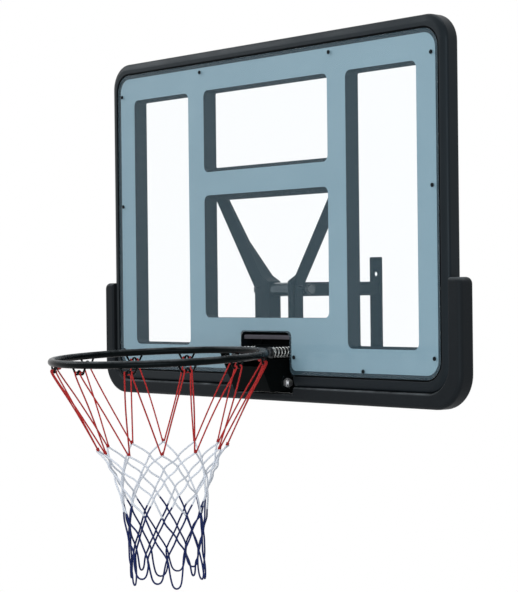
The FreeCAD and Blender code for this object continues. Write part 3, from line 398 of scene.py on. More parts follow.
print("finish helpers ready")

# %% [markdown]
# ## Black finishes
# Nearly everything on the board is black, yet no two blacks are alike: the frame is grained hard
# plastic, the pad has a dull foam skin, the steel is powder coated, and the ring is smoother from use.
# Some blacks carry painted light: a darker, duller copy of the frame plastic paints shade on the window
# reveals, a lighter coat paints a highlight on the hood, the pad and the ring get painted highlights on
# edges and tops, and a matt black line paints the shadow round the sheet. One function wires the shared
# groups to a shader. Colour, gloss and grain size are what tells the finishes apart, so they are its
# arguments.

# %% Black plastic, foam, powder coat and painted light
# Grey of dust, and of the painted highlight on upward faces.
DUST_AND_SHEEN_COLOUR = (0.26, 0.29, 0.31)
COOL_SHINE = (0.70, 0.88, 1.0, 1.0)
PATCH_SHADE = 0.8


def black_finish(name, colour, worn_and_sheen, gloss, level, grain_scale, grain_depth, rub_and_sheen_amount, dust_and_sheen_amount):
    finish, tree, shader = new_finish(name)
    grain = place_group(tree, grain_group, Grain_Scale=grain_scale, Patch_Scale=9.0)
    rub_and_sheen = place_group(tree, rub_and_sheen_group, Reach=0.002, Breakup=60.0)
    dust_and_sheen = place_group(tree, dust_and_sheen_group, Cloud_Scale=18.0)
    darker = tuple(c * PATCH_SHADE for c in colour)
    skin = tint(tree, grain.outputs["Patches"], darker, colour)
    # Edges and upward faces turn lighter: wear and dust, and where the amounts are high, painted
    # highlights.
    rubbed_and_sheened = tint(tree, math_node(tree, "MULTIPLY", rub_and_sheen.outputs["Rub"], rub_and_sheen_amount), skin, worn_and_sheen)
    dust_and_sheen_share = math_node(tree, "MULTIPLY", dust_and_sheen.outputs["Dust"], dust_and_sheen_amount)
    join(tree, tint(tree, dust_and_sheen_share, rubbed_and_sheened, DUST_AND_SHEEN_COLOUR), shader.inputs["Base Color"])
    join(tree, between(tree, grain.outputs["Patches"], *gloss), shader.inputs["Roughness"])
    shader.inputs["Specular IOR Level"].default_value = level
    shader.inputs["Specular Tint"].default_value = COOL_SHINE
    bump(tree, shader, grain.outputs["Height"], strength=0.5, distance=grain_depth)
    return finish


frame_plastic = black_finish("frame_plastic", colour=(0.004, 0.006, 0.008), worn_and_sheen=(0.050, 0.056, 0.062),
                             gloss=(0.42, 0.52), level=0.19, grain_scale=700.0, grain_depth=0.00015,
                             rub_and_sheen_amount=0.4, dust_and_sheen_amount=0.10)
# A darker, duller copy of the frame plastic: painted shade for the window sills and heads.
shaded_reveal_plastic = black_finish("shaded_reveal_plastic", colour=(0.004, 0.006, 0.008), worn_and_sheen=(0.020, 0.022, 0.025),
                              gloss=(0.70, 0.80), level=0.03, grain_scale=700.0, grain_depth=0.00015,
                              rub_and_sheen_amount=0.2, dust_and_sheen_amount=0.0)
# The pad's high rub and dust amounts paint highlights along its edges and on its top.
pad_skin = black_finish("pad_skin", colour=(0.011, 0.013, 0.015), worn_and_sheen=(0.13, 0.14, 0.15),
                        gloss=(0.45, 0.58), level=0.08, grain_scale=420.0, grain_depth=0.00030,
                        rub_and_sheen_amount=0.9, dust_and_sheen_amount=0.60)
powder_coat = black_finish("powder_coat", colour=(0.005, 0.008, 0.010), worn_and_sheen=(0.065, 0.070, 0.076),
                           gloss=(0.32, 0.44), level=0.05, grain_scale=520.0, grain_depth=0.00012,
                           rub_and_sheen_amount=0.5, dust_and_sheen_amount=0.08)
rim_coat = black_finish("rim_coat", colour=(0.002, 0.003, 0.003), worn_and_sheen=(0.040, 0.042, 0.045),
                        gloss=(0.60, 0.75), level=0.03, grain_scale=520.0, grain_depth=0.00012,
                        rub_and_sheen_amount=0.4, dust_and_sheen_amount=0.04)
# A lighter mauve grey copy of the rim coat: a painted highlight on the hood's front fold.
hood_painted_light = black_finish("hood_painted_light", colour=(0.070, 0.064, 0.076), worn_and_sheen=(0.12, 0.11, 0.12),
                         gloss=(0.40, 0.50), level=0.15, grain_scale=520.0, grain_depth=0.00012,
                         rub_and_sheen_amount=0.5, dust_and_sheen_amount=0.06)
# The ring's high dust amount paints a lighter top on the rod and the hooks, a painted highlight.
ring_coat = black_finish("ring_coat", colour=(0.002, 0.003, 0.003), worn_and_sheen=(0.060, 0.064, 0.068),
                         gloss=(0.22, 0.34), level=0.05, grain_scale=520.0, grain_depth=0.00008,
                         rub_and_sheen_amount=0.4, dust_and_sheen_amount=0.45)
# Matt black for the painted shadow line round the sheet.
shadow_line_black = black_finish("shadow_line_black", colour=(0.002, 0.002, 0.002), worn_and_sheen=(0.010, 0.010, 0.010),
                           gloss=(0.60, 0.75), level=0.03, grain_scale=520.0, grain_depth=0.00005,
                           rub_and_sheen_amount=0.2, dust_and_sheen_amount=0.0)
print("black finishes", [m.name for m in (frame_plastic, shaded_reveal_plastic, pad_skin, powder_coat, rim_coat,
                                          hood_painted_light, ring_coat, shadow_line_black)])

# %% [markdown]
# ## Plated steel
# Bolts, nuts and washers are zinc plated: those at the hinge are bright, and the rest are a much darker
# grey. The spacer tubes are dark drawn steel and the springs are plated wire. All are metals, so their
# colour is the colour of the reflection. Cloudy patches shift it between a cool and a warm grey and vary
# the polish; that is what keeps plating from looking like chrome.

# %% Zinc and spring steel
def plated(name, cool, warm, gloss, grain_scale):
    finish, tree, shader = new_finish(name)
    grain = place_group(tree, grain_group, Grain_Scale=grain_scale, Patch_Scale=130.0)
    join(tree, tint(tree, grain.outputs["Patches"], cool, warm), shader.inputs["Base Color"])
    join(tree, between(tree, grain.outputs["Patches"], *gloss), shader.inputs["Roughness"])
    shader.inputs["Metallic"].default_value = 1.0
    bump(tree, shader, grain.outputs["Height"], strength=0.3, distance=0.00005)
    return finish


zinc = plated("zinc", cool=(0.62, 0.65, 0.68), warm=(0.80, 0.81, 0.81),
              gloss=(0.34, 0.50), grain_scale=1500.0)
# A much darker zinc for the fasteners behind the board and in the notch.
dark_zinc = plated("dark_zinc", cool=(0.055, 0.062, 0.068), warm=(0.10, 0.105, 0.105),
                   gloss=(0.36, 0.52), grain_scale=1200.0)
dark_tube = plated("dark_tube", cool=(0.042, 0.052, 0.058), warm=(0.055, 0.064, 0.069),
                   gloss=(0.10, 0.16), grain_scale=900.0)
spring_wire = plated("spring_wire", cool=(0.28, 0.31, 0.31), warm=(0.38, 0.39, 0.38),
                     gloss=(0.16, 0.26), grain_scale=1800.0)
print("metals", zinc.name, dark_zinc.name, dark_tube.name, spring_wire.name)

# %% [markdown]
# ## Cord
# The net is braided polypropylene cord. Its tubes carry a UV map that runs along and around them, so
# the braid follows every bend: two sets of strands wind in opposite directions, and whichever is
# higher shows. The wave heights drive both the bump and the shade between the strands.

# %% Braid
braid_group, given, result = start_group("cord_braid", {"Pitches": 30.0, "Strands": 3.0},
                                         ["Height", "Shade"])
tree = braid_group
coords = add_node(tree, "ShaderNodeTexCoord")
parts = add_node(tree, "ShaderNodeSeparateXYZ")
join(tree, coords.outputs["UV"], parts.inputs[0])
along = math_node(tree, "MULTIPLY", parts.outputs["X"], given.outputs["Pitches"])
around = math_node(tree, "MULTIPLY", parts.outputs["Y"], given.outputs["Strands"])
waves = []
for operation in ("ADD", "SUBTRACT"):
    phase = math_node(tree, "MULTIPLY", math_node(tree, operation, along, around), 2 * pi)
    waves.append(math_node(tree, "SINE", phase, 0.0))
braid = math_node(tree, "MAXIMUM", *waves)
join(tree, braid, result.inputs["Height"])
lit = add_node(tree, "ShaderNodeMapRange", {"From Min": -0.6, "From Max": 1.0})
join(tree, braid, lit.inputs["Value"])
fuzz = add_node(tree, "ShaderNodeTexNoise", {"Scale": 160.0, "Detail": 4.0, "Roughness": 0.7})
join(tree, coords.outputs["Object"], fuzz.inputs["Vector"])
shade = math_node(tree, "MULTIPLY", lit.outputs["Result"], between(tree, fuzz.outputs[0], 0.55, 1.3))
join(tree, shade, result.inputs["Shade"])
print("group", braid_group.name)

# %% [markdown]
# The three colours of cord differ in their dye, and in how many turns of braid fit on a tube, because
# the tubes differ in length.

# %% Red, white and blue cord
def cord_finish(name, shadow, light, pitches):
    finish, tree, shader = new_finish(name)
    braid = place_group(tree, braid_group, Pitches=pitches, Strands=3.0)
    join(tree, tint(tree, braid.outputs["Shade"], shadow, light), shader.inputs["Base Color"])
    shader.inputs["Roughness"].default_value = 0.72
    shader.inputs["Specular IOR Level"].default_value = 0.12
    shader.inputs["Sheen Weight"].default_value = 0.05
    bump(tree, shader, braid.outputs["Height"], strength=0.6, distance=0.0004)
    return finish


red_cord = cord_finish("red_cord", shadow=(0.20, 0.008, 0.010), light=(0.56, 0.032, 0.030), pitches=54.0)
white_cord = cord_finish("white_cord", shadow=(0.50, 0.55, 0.63), light=(0.76, 0.80, 0.86), pitches=20.0)
blue_cord = cord_finish("blue_cord", shadow=(0.003, 0.008, 0.045), light=(0.010, 0.024, 0.13), pitches=38.0)
print("cords", red_cord.name, white_cord.name, blue_cord.name)

# %% [markdown]
# ## Clear sheet
# The sheet is polished acrylic. A glass shader alone would put everything behind it in its shadow,
# because light does not find its way through refraction. So shadow rays and soft bounces pass
# straight through, and the camera still sees the refracting, reflecting sheet. Its index of refraction
# is set below that of acrylic, which keeps the mirror image of the net faint. Fine scratches scatter a
# little light, which lays a thin cool veil over dark things behind it.

# %% Sheet finish
VEIL_AMOUNT = 0.03
clear_sheet, tree, shader = new_finish("clear_sheet")
shader.inputs["Base Color"].default_value = (1.0, 1.0, 1.0, 1.0)
shader.inputs["Transmission Weight"].default_value = 1.0
shader.inputs["IOR"].default_value = 1.15
grain = place_group(tree, grain_group, Grain_Scale=60.0, Patch_Scale=7.0)
join(tree, between(tree, grain.outputs["Patches"], 0.0, 0.03), shader.inputs["Roughness"])
veil = add_node(tree, "ShaderNodeBsdfDiffuse", {"Color": (0.45, 0.80, 1.0, 1.0)})
hazed = add_node(tree, "ShaderNodeMixShader", {0: VEIL_AMOUNT})
join(tree, shader.outputs[0], hazed.inputs[1])
join(tree, veil.outputs[0], hazed.inputs[2])
rays = add_node(tree, "ShaderNodeLightPath")
passing = math_node(tree, "MAXIMUM", rays.outputs["Is Shadow Ray"], rays.outputs["Is Diffuse Ray"])
open_air = add_node(tree, "ShaderNodeBsdfTransparent", {"Color": (0.95, 0.98, 1.0, 1.0)})
either = add_node(tree, "ShaderNodeMixShader")
join(tree, passing, either.inputs[0])
join(tree, hazed.outputs[0], either.inputs[1])
join(tree, open_air.outputs[0], either.inputs[2])
join(tree, either.outputs[0], tree.nodes["Material Output"].inputs["Surface"])
print("finish", clear_sheet.name)

# %% [markdown]
# ## Print
# The border is screen printed on the sheet's rear face: an even ink with faint mottling and a dull
# gloss of its own.

# %% Ink
ink, tree, shader = new_finish("printed_ink")
grain = place_group(tree, grain_group, Grain_Scale=800.0, Patch_Scale=5.0)
mottled = tint(tree, grain.outputs["Patches"], (0.190, 0.287, 0.335), (0.208, 0.307, 0.355))
join(tree, mottled, shader.inputs["Base Color"])
shader.inputs["Roughness"].default_value = 0.5
bump(tree, shader, grain.outputs["Height"], strength=0.2, distance=0.00003)
print("finish", ink.name)

# %% [markdown]
# ## Dressing a CAD node
# A CAD mesh arrives as loose triangles with knife-sharp edges. Real edges are always a little round
# and catch the light. A copy is merged, its flat areas are joined into single faces, and a Bevel and
# a Weighted Normal modifier round and shade it. The copy then stands for the node and rides on the
# same body.

# %% Dress
MERGE_DISTANCE = 2e-6
FLAT_ANGLE = 0.2
EDGE_ANGLE = 35.0


def merged_copy(node):
    """A bmesh of a CAD node with shared corners and whole flat faces."""
    bm = bmesh.new()
    bm.from_mesh(cad_nodes[node].data)
    bmesh.ops.remove_doubles(bm, verts=bm.verts, dist=MERGE_DISTANCE)
    bmesh.ops.dissolve_limit(bm, angle_limit=radians(FLAT_ANGLE), verts=bm.verts, edges=bm.edges)
    for edge in bm.edges:
        edge.smooth = True
    return bm


def stand_for(piece, finish, *names):
    """Give a piece its finish and its body, and let it stand for CAD nodes."""
    piece.data.materials.clear()
    piece.data.materials.append(finish)
    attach(piece, cad_nodes[names[0]]["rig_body"])
    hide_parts(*names)


def round_edges(piece, width, segments=2):
    bevel = piece.modifiers.new("round_edges", "BEVEL")
    bevel.width = width
    bevel.segments = segments
    bevel.limit_method = "ANGLE"
    bevel.angle_limit = radians(EDGE_ANGLE)
    bevel.use_clamp_overlap = False
    shade = piece.modifiers.new("shade", "WEIGHTED_NORMAL")
    shade.weight = 50


def dress(node, finish, width):
    """A copy of a CAD node with edges rounded over this width."""
    piece = piece_from(merged_copy(node), node + "_dressed")
    custom = piece.data.attributes.get("custom_normal")
    if custom:
        piece.data.attributes.remove(custom)
    round_edges(piece, width)
    stand_for(piece, finish, node)
    return piece


# %% [markdown]
# ## Frame and pad
# The frame is one moulding with drafted windows. Their sills and heads get a darker, duller copy of the
# frame plastic, a painted shade. Those faces are found by their place on the drawing and by looking up
# or down. The pad wraps the frame's lower edge and is firm.

# %% Frame and pad
REVEAL_SIDE, REVEAL_FOOT, REVEAL_HEAD = 520.0, 100.0, 770.0
LEVEL_FACE = 0.8
frame_piece = dress("backboard_frame", frame_plastic, width=0.0010)
frame_piece.data.materials.append(shaded_reveal_plastic)
reveal_low = place(-REVEAL_SIDE, 0, REVEAL_FOOT)
reveal_high = place(REVEAL_SIDE, 0, REVEAL_HEAD)
# Sills and heads inside the windows take the darker copy, a painted shade.
for face in frame_piece.data.polygons:
    spot = face.center
    inside = reveal_low.x < spot.x < reveal_high.x and reveal_low.z < spot.z < reveal_high.z
    if inside and abs(face.normal.z) > LEVEL_FACE:
        face.material_index = 1
pad_piece = dress("edge_pad", pad_skin, width=0.0016)
print("dressed", frame_piece.name, pad_piece.name)

# %% [markdown]
# ## Sheet and print
# The print keeps its CAD mesh and gets the ink. The sheet's rear face is drawn back by a hair from it,
# because two surfaces in exactly one place would flicker.

# %% Sheet and print
SHEET_MIDDLE = 3.0
INK_GAP = 0.00003
bm = merged_copy("backboard_sheet")
rear = [v for v in bm.verts if v.co.y > place(0, SHEET_MIDDLE, 0).y]
bmesh.ops.translate(bm, verts=rear, vec=(0.0, -INK_GAP, 0.0))
sheet_piece = piece_from(bm, "clear_sheet_dressed")
round_edges(sheet_piece, 0.0003, segments=1)
stand_for(sheet_piece, clear_sheet, "backboard_sheet")

print_node = cad_nodes["printed_border"]
print_node.data.materials.clear()
print_node.data.materials.append(ink)
print("dressed", sheet_piece.name, "and", print_node.name)

# %% [markdown]
# ## Steel behind the board
# Two bent posts, four arms and two flat wall bars, all powder coated. The arms are rectangular tube,
# whose corners are rounder than the edges of plate, so their bevel is wider.

# %% Posts, arms, bars and spacers
for side in ("left", "right"):
    dress(side + "_post", powder_coat, width=0.0010)
    dress(side + "_wall_bar", powder_coat, width=0.0010)
    for level in ("upper", "lower"):
        dress(side + "_" + level + "_arm", powder_coat, width=0.0014)
for level in ("upper", "lower"):
    dress(level + "_spacer_tube", dark_tube, width=0.0007)
print("rear steel dressed")

# %% [markdown]
# ## Bolts, nuts and washers
# The fasteners keep their CAD shapes with a small round on every edge. The base bolts, whose heads lie
# deep in the notch, get the rim's near-black finish instead of zinc.

# %% Fasteners
FASTENER_EDGE = 0.0005
for node in ("upper_cross_bolt", "lower_cross_bolt", "cross_bolt_washers", "cross_bolt_nuts", "frame_bolts",
             "spring_bolts", "spring_washers", "spring_nuts", "base_nuts"):
    dress(node, dark_zinc, FASTENER_EDGE)
for node in ("rim_hinge_bolt", "rim_hinge_nut"):
    dress(node, zinc, FASTENER_EDGE)
dress("base_bolts", rim_coat, FASTENER_EDGE)
print("fasteners dressed")

# %% [markdown]
# ## Rim base and bracket
# The base is a plate that closes the notch, bolted to the posts, with a hood and two hinge ears; the
# hood's front gets a lighter mauve grey coat, a painted highlight for the light falling on its fold.
# Its foot is let down by a hair onto the pad, so that no light shows under it. The bracket is folded
# from plate and welded to the ring, and turns on the hinge sleeve.

# %% Base, bracket, sleeve and stop tubes
HOOD_BACK, HOOD_FOOT = 14.0, 138.0
BASE_FOOT = 17.0
FOOT_DROP = 0.00027
base_piece = dress("rim_base", rim_coat, width=0.0008)
base_piece.data.materials.append(hood_painted_light)
hood_corner = place(0, HOOD_BACK, HOOD_FOOT)
base_foot = place(0, 0, BASE_FOOT).z
# The hood's front faces take the lighter coat, a painted highlight.
for face in base_piece.data.polygons:
    if face.center.y < hood_corner.y and face.center.z > hood_corner.z:
        face.material_index = 1
for vertex in base_piece.data.vertices:
    if vertex.co.z < base_foot:
        vertex.co.z -= FOOT_DROP
dress("rim_bracket", rim_coat, width=0.0007)
dress("rim_hinge_sleeve", rim_coat, width=0.0006)
dress("spring_stop_tubes", powder_coat, width=0.0005)
print("rim base and bracket dressed")

# %% [markdown]
# ## Ring
# The ring is a 16 mm rod bent round to 450 mm inside and welded shut. A circle spun about an upright
# axis makes it. The ring's own frame sits at its centre and droops a little to the front, and the net
# is built in that frame too.

# %% Ring
RING_OUT, RING_DROOP = 303.0, 2.1
RING_RADIUS = 0.233
ROD_RADIUS = 0.008
ring_centre = place(0, -RING_OUT, RING_HEIGHT)
ring_frame = Matrix.Translation(ring_centre) @ Matrix.Rotation(radians(RING_DROOP), 4, "X")
upright = Matrix.Rotation(pi / 2, 3, "X")

bm = bmesh.new()
bmesh.ops.create_circle(bm, segments=28, radius=ROD_RADIUS)
bmesh.ops.rotate(bm, verts=bm.verts, cent=(0, 0, 0), matrix=upright)
bmesh.ops.translate(bm, verts=bm.verts, vec=(RING_RADIUS, 0, 0))
bmesh.ops.spin(bm, geom=bm.verts[:] + bm.edges[:], cent=(0, 0, 0), axis=(0, 0, 1), angle=2 * pi,
               steps=144, use_merge=True)
bmesh.ops.remove_doubles(bm, verts=bm.verts, dist=1e-6)
bmesh.ops.recalc_face_normals(bm, faces=bm.faces)
bmesh.ops.transform(bm, matrix=ring_frame, verts=bm.verts)
ring_piece = piece_from(bm, "ring")
stand_for(ring_piece, ring_coat, "rim_ring")
print("ring faces", len(ring_piece.data.polygons))

# %% [markdown]
# ## Lines and tubes
# Wire and cord are drawn as smooth NURBS lines. The line is read back as points, and a round tube is
# swept along them by a curve with a bevel, which also gives the UV map for the braid.

# %% Smooth lines and swept tubes
def smooth_line(control, steps):
    """Points along an order 3 NURBS line with these control points."""
    curve = bpy.data.curves.new("line", "CURVE")
    curve.dimensions = "3D"
    spline = curve.splines.new("NURBS")
    spline.points.add(len(control) - 1)
    for point, spot in zip(spline.points, control):
        point.co = (*spot, 1.0)
    spline.order_u = 3
    spline.use_endpoint_u = True
    spline.resolution_u = steps
    holder = bpy.data.objects.new("line", curve)
    mesh = bpy.data.meshes.new_from_object(holder)
    points = [v.co.copy() for v in mesh.vertices]
    bpy.data.objects.remove(holder)
    bpy.data.curves.remove(curve)
    bpy.data.meshes.remove(mesh)
    return points


def swept_tubes(name, lines, radius, roundness, matrix):
    """One mesh piece of closed round tubes along several lines."""
    curve = bpy.data.curves.new(name, "CURVE")
    curve.dimensions = "3D"
    curve.bevel_depth = radius
    curve.bevel_resolution = roundness
    curve.use_fill_caps = True
    for line in lines:
        spline = curve.splines.new("POLY")
        spline.points.add(len(line) - 1)
        for point, spot in zip(spline.points, line):
            point.co = (*spot, 1.0)
    holder = bpy.data.objects.new(name, curve)
    mesh = bpy.data.meshes.new_from_object(holder)
    bpy.data.objects.remove(holder)
    bpy.data.curves.remove(curve)
    mesh.transform(matrix)
    mesh.shade_smooth()
    mesh.name = name
    made = bpy.data.objects.new(name, mesh)
    scene.collection.objects.link(made)
    return made


def polar(radius, angle, height):
    """A point in the ring's frame: metres out, degrees round, metres up."""
    return Vector((radius * cos(radians(angle)), radius * sin(radians(angle)), height))


print("line and tube helpers ready")

# %% [markdown]
# ## Painted shadow line
# A thin black line runs round the sheet: a painted shadow line in the gap between the sheet's edge and
# the frame, drawn as a matt black cord. It stops on either side of the rim. A corner of the line is four
# control points on the sides of an octagon, because a smooth line touches the middle of each of its
# sides, and so does a circle.

# %% Painted shadow line
SHADOW_LINE_RADIUS = 0.0018
SHADOW_LINE_DEPTH = 2.0
SHADOW_LINE_END = 103.0
SHADOW_LINE_SIDE, SHADOW_LINE_FOOT, SHADOW_LINE_TOP, SHADOW_LINE_CORNER = 552.0, 59.0, 793.0, 44.0
near = SHADOW_LINE_CORNER * (2.0 - sqrt(2.0))
far = SHADOW_LINE_CORNER * sqrt(2.0)
half_line = [(SHADOW_LINE_END, SHADOW_LINE_FOOT), (SHADOW_LINE_SIDE - far, SHADOW_LINE_FOOT), (SHADOW_LINE_SIDE - near, SHADOW_LINE_FOOT),
             (SHADOW_LINE_SIDE, SHADOW_LINE_FOOT + near), (SHADOW_LINE_SIDE, SHADOW_LINE_FOOT + far), (SHADOW_LINE_SIDE, SHADOW_LINE_TOP - far),
             (SHADOW_LINE_SIDE, SHADOW_LINE_TOP - near), (SHADOW_LINE_SIDE - near, SHADOW_LINE_TOP), (SHADOW_LINE_SIDE - far, SHADOW_LINE_TOP)]
whole_line = half_line + [(-across, height) for across, height in reversed(half_line)]
shadow_line_points = smooth_line([place(across, SHADOW_LINE_DEPTH, height) for across, height in whole_line], steps=8)
# A matt black cord stands for the shadow in the gap round the sheet, a painted shadow.
shadow_line = swept_tubes("sheet_shadow_line", [shadow_line_points], SHADOW_LINE_RADIUS, roundness=2, matrix=Matrix.Identity(4))
shadow_line.data.materials.append(shadow_line_black)
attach(shadow_line, "board")
print("seal points", len(shadow_line_points))

# %% [markdown]
# ## Net hooks
# Twelve clips of bent wire are welded under the ring. Each one is a wave with two dips, and the cord
# that it holds runs over both. The wave is drawn once, in millimetres along the ring and up from the
# rod's middle.

# %% Hooks
HOOK_COUNT = 12
HOOK_PITCH = 360.0 / HOOK_COUNT
HOOK_TURN = 6.5
WIRE_RADIUS = 0.0023
HOOK_WAVE = ((-20.0, -4.0), (-15.8, -11.0), (-12.0, -19.5), (-3.6, -20.0), (-3.4, -12.5),
             (3.4, -12.5), (3.6, -20.0), (12.0, -19.5), (15.8, -11.0), (20.0, -4.0))


def hook_angle(k):
    """Degrees round the ring to a hook; halves stand for the knots between hooks."""
    return HOOK_TURN + HOOK_PITCH * k


hook_lines = []
for k in range(HOOK_COUNT):
    turned = Matrix.Rotation(radians(hook_angle(k)), 3, "Z")
    wave = [turned @ Vector((RING_RADIUS, t / 1000.0, z / 1000.0)) for t, z in HOOK_WAVE]
    hook_lines.append(smooth_line(wave, steps=6))
hooks = swept_tubes("net_hook_clips", hook_lines, WIRE_RADIUS, roundness=3, matrix=ring_frame)
stand_for(hooks, ring_coat, "net_hooks")
print("hooks", len(hook_lines), "faces", len(hooks.data.polygons))

# %% [markdown]
# ## Red legs
# One cord goes to each hook: up from a knot, inwards over one dip, along the inner side and out again
# over the other dip, then down to the next knot, so two cords meet in every knot. The cords are pulled
# tight, so they are thinner than the mesh below, but not perfectly straight, so each run has a small
# bow of its own. At a dip the control points lie on both sides of the wire, low and high.

# %% Red cords
LEG_RADIUS = 0.0017
ROW_DROPS = (0.196, 0.229, 0.263, 0.300, 0.342, 0.384, 0.424)
ROW_RADII = (0.141, 0.120, 0.1045, 0.095, 0.088, 0.082, 0.080)
HOOK_DIP_SIDE, HOOK_DIP_DROP = 0.0078, 0.0198
WIRE_REACH = 0.0046
OUTER_LOW, OUTER_HIGH = Vector((0, 0, -0.0030)), Vector((0, 0, 0.0058))
INNER_HIGH, INNER_LOW = Vector((0, 0, 0.0038)), Vector((0, 0, -0.0008))
KNOT_SPREAD = 0.0023
BOW_ASIDE, BOW_OUT = 0.004, 0.003
leg_lines = []
for k in range(HOOK_COUNT):
    out = polar(1.0, hook_angle(k), 0.0)
    aside = polar(1.0, hook_angle(k) + 90.0, 0.0)
    control = []
    for side in (-1, 1):
        dip = out * RING_RADIUS + aside * (HOOK_DIP_SIDE * side) - Vector((0, 0, HOOK_DIP_DROP))
        knot_angle = hook_angle(k + side / 2)
        knot_side = polar(KNOT_SPREAD * side, knot_angle + 90.0, 0.0)
        foot = polar(ROW_RADII[0], knot_angle, -ROW_DROPS[0]) - knot_side
        bow = aside * (BOW_ASIDE * sin(2.4 * k + side)) + out * (BOW_OUT * sin(1.7 * k + 2 * side))
        inner = dip - out * WIRE_REACH
        outer = dip + out * WIRE_REACH
        run = [foot, (dip + foot) * 0.5 + bow, outer + OUTER_LOW, outer + OUTER_HIGH,
               inner + INNER_HIGH, inner + INNER_LOW]
        control += run if side < 0 else run[::-1]
    leg_lines.append(smooth_line(control, steps=6))
legs = swept_tubes("net_red_legs", leg_lines, LEG_RADIUS, roundness=2, matrix=ring_frame)
print("legs", len(leg_lines))

# %% [markdown]
# ## Knots
# A knot is two and a half turns of cord wound round the bundle. A small circle spun with a step along
# the axis winds it, as a screw thread is cut. Three helpers find the edges of a ring of vertices, find
# all that hangs together with it, and close the open ends of a finished mesh.

# %% Knots
KNOT_CORD, KNOT_RADIUS, KNOT_LENGTH = 0.0013, 0.0026, 0.0060
KNOT_TURNS, KNOT_STEPS = 2.5, 36
KNOT_LEAN = 20.0


def edges_of(verts):
    return list(dict.fromkeys(edge for vert in verts for edge in vert.link_edges))


def connected(verts):
    """All vertices that hang together with these by edges."""
    whole = set(verts)
    front = list(verts)
    while front:
        reached = {edge.other_vert(vert) for vert in front for edge in vert.link_edges}
        front = list(reached - whole)
        whole.update(front)
    return list(whole)


def closed_piece(bm, name):
    bmesh.ops.holes_fill(bm, edges=[e for e in bm.edges if e.is_boundary], sides=0)
    bmesh.ops.recalc_face_normals(bm, faces=bm.faces)
    return piece_from(bm, name)


bm = bmesh.new()
for k in range(HOOK_COUNT):
    angle = hook_angle(k + 0.5)
    coil = bmesh.ops.create_circle(bm, segments=8, radius=KNOT_CORD)["verts"]
    bmesh.ops.rotate(bm, verts=coil, cent=(0, 0, 0), matrix=upright)
    bmesh.ops.translate(bm, verts=coil, vec=(KNOT_RADIUS, 0, -KNOT_LENGTH / 2))
    bmesh.ops.spin(bm, geom=coil + edges_of(coil), cent=(0, 0, 0), axis=(0, 0, 1),
                   dvec=(0, 0, KNOT_LENGTH / KNOT_STEPS), angle=2 * pi * KNOT_TURNS, steps=KNOT_STEPS)
    lean = Matrix.Rotation(radians(angle), 4, "Z") @ Matrix.Rotation(radians(KNOT_LEAN), 4, "Y")
    at = Matrix.Translation(polar(ROW_RADII[0], angle, -ROW_DROPS[0])) @ lean
    bmesh.ops.transform(bm, matrix=ring_frame @ at, verts=connected(coil))
knots = closed_piece(bm, "net_red_knots")
for piece in (legs, knots):
    stand_for(piece, red_cord, "net_red")
print("knot faces", len(knots.data.polygons))

# %% [markdown]
# ## White and blue mesh
# From each knot one cord runs down and round the net on its outer side, turns in a hanging loop, and
# climbs on in the same direction on the inner side, to a knot further round. Where two cords cross they
# lie side by side for a moment, which gives the mesh its slightly six-sided eyes. So each crossing is a
# pair of control points on a steep line. No crossing or loop sits quite where it should: sines with odd
# steps stand for chance, and give the same slips on every run.

# %% Route of a mesh cord
LAYER = 0.00235
STEEP, NARROW = 0.0075, 0.0028
KNOT_BELOW = 0.003
SLIP_TURN = 0.45
SAG_LEAST, SAG_GROWTH = 0.003, 0.0007
LOOP_DROP, LOOP_SPREAD = 0.058, 10.5
LOOP_SHAPE = ((-1.05, 0.030, 1.0), (-0.62, 0.0, 0.6), (0.62, 0.0, -0.6), (1.05, 0.030, -1.0))
LOOP_SWAY, LOOP_SAG, LOOP_BULGE, LOOP_OPENING = 4.0, 0.012, 0.006, 2.0
ROWS = len(ROW_DROPS)
ROW_TURN = HOOK_PITCH / 2


def crossing(radius, angle, drop, way):
    """Two control points that take a cord steeply through a crossing; way is 1 when the angle grows."""
    swing = way * NARROW / radius * 180.0 / pi
    return [polar(radius, angle - swing, -drop + STEEP), polar(radius, angle + swing, -drop - STEEP)]


def stray(cord, row):
    """How far one crossing has slipped: degrees round the net and metres down."""
    slip = SLIP_TURN * row * sin(3.1 * cord + 2.7 * row)
    sag = (SAG_LEAST + SAG_GROWTH * row) * sin(2.3 * cord + 1.9 * row)
    return slip, sag


def hanging_loop(k, angle):
    """Control points of the loop at the bottom, each loop a little different."""
    hang = angle + LOOP_SWAY * sin(4.1 * k)
    low = ROW_DROPS[-1] + LOOP_DROP + LOOP_SAG * sin(2.1 * k)
    out = ROW_RADII[-1] + LOOP_BULGE * sin(2.9 * k)
    spread = LOOP_SPREAD + LOOP_OPENING * sin(1.3 * k + 1.0)
    return [polar(out + LAYER * layer, hang + spread * share, -low + height)
            for share, height, layer in LOOP_SHAPE]


def mesh_route(k):
    """Control points of one cord: down on the outer side, through its loop, up on the inner side."""
    first = hook_angle(k + 0.5)
    control = [polar(ROW_RADII[0] + LAYER, first, -ROW_DROPS[0] - KNOT_BELOW)]
    for row in range(1, ROWS):
        slip, sag = stray(k, row)
        control += crossing(ROW_RADII[row] + LAYER, first + ROW_TURN * row + slip, ROW_DROPS[row] + sag, 1)
    control += hanging_loop(k, first + ROW_TURN * ROWS)
    for row in range(ROWS - 1, 0, -1):
        slip, sag = stray((k + ROWS - row) % HOOK_COUNT, row)
        angle = first + ROW_TURN * (2 * ROWS - row) + slip
        control += reversed(crossing(ROW_RADII[row] - LAYER, angle, ROW_DROPS[row] + sag, -1))
    control.append(polar(ROW_RADII[0] - LAYER, first + ROW_TURN * 2 * ROWS, -ROW_DROPS[0] - KNOT_BELOW))
    return control


print("points of a mesh route", len(mesh_route(0)))

# %% [markdown]
# The dye changes from white to blue on the way down, and back on the way up, a little higher there. So
# each line is cut in three at those heights, and the white and the blue stretches become two pieces.

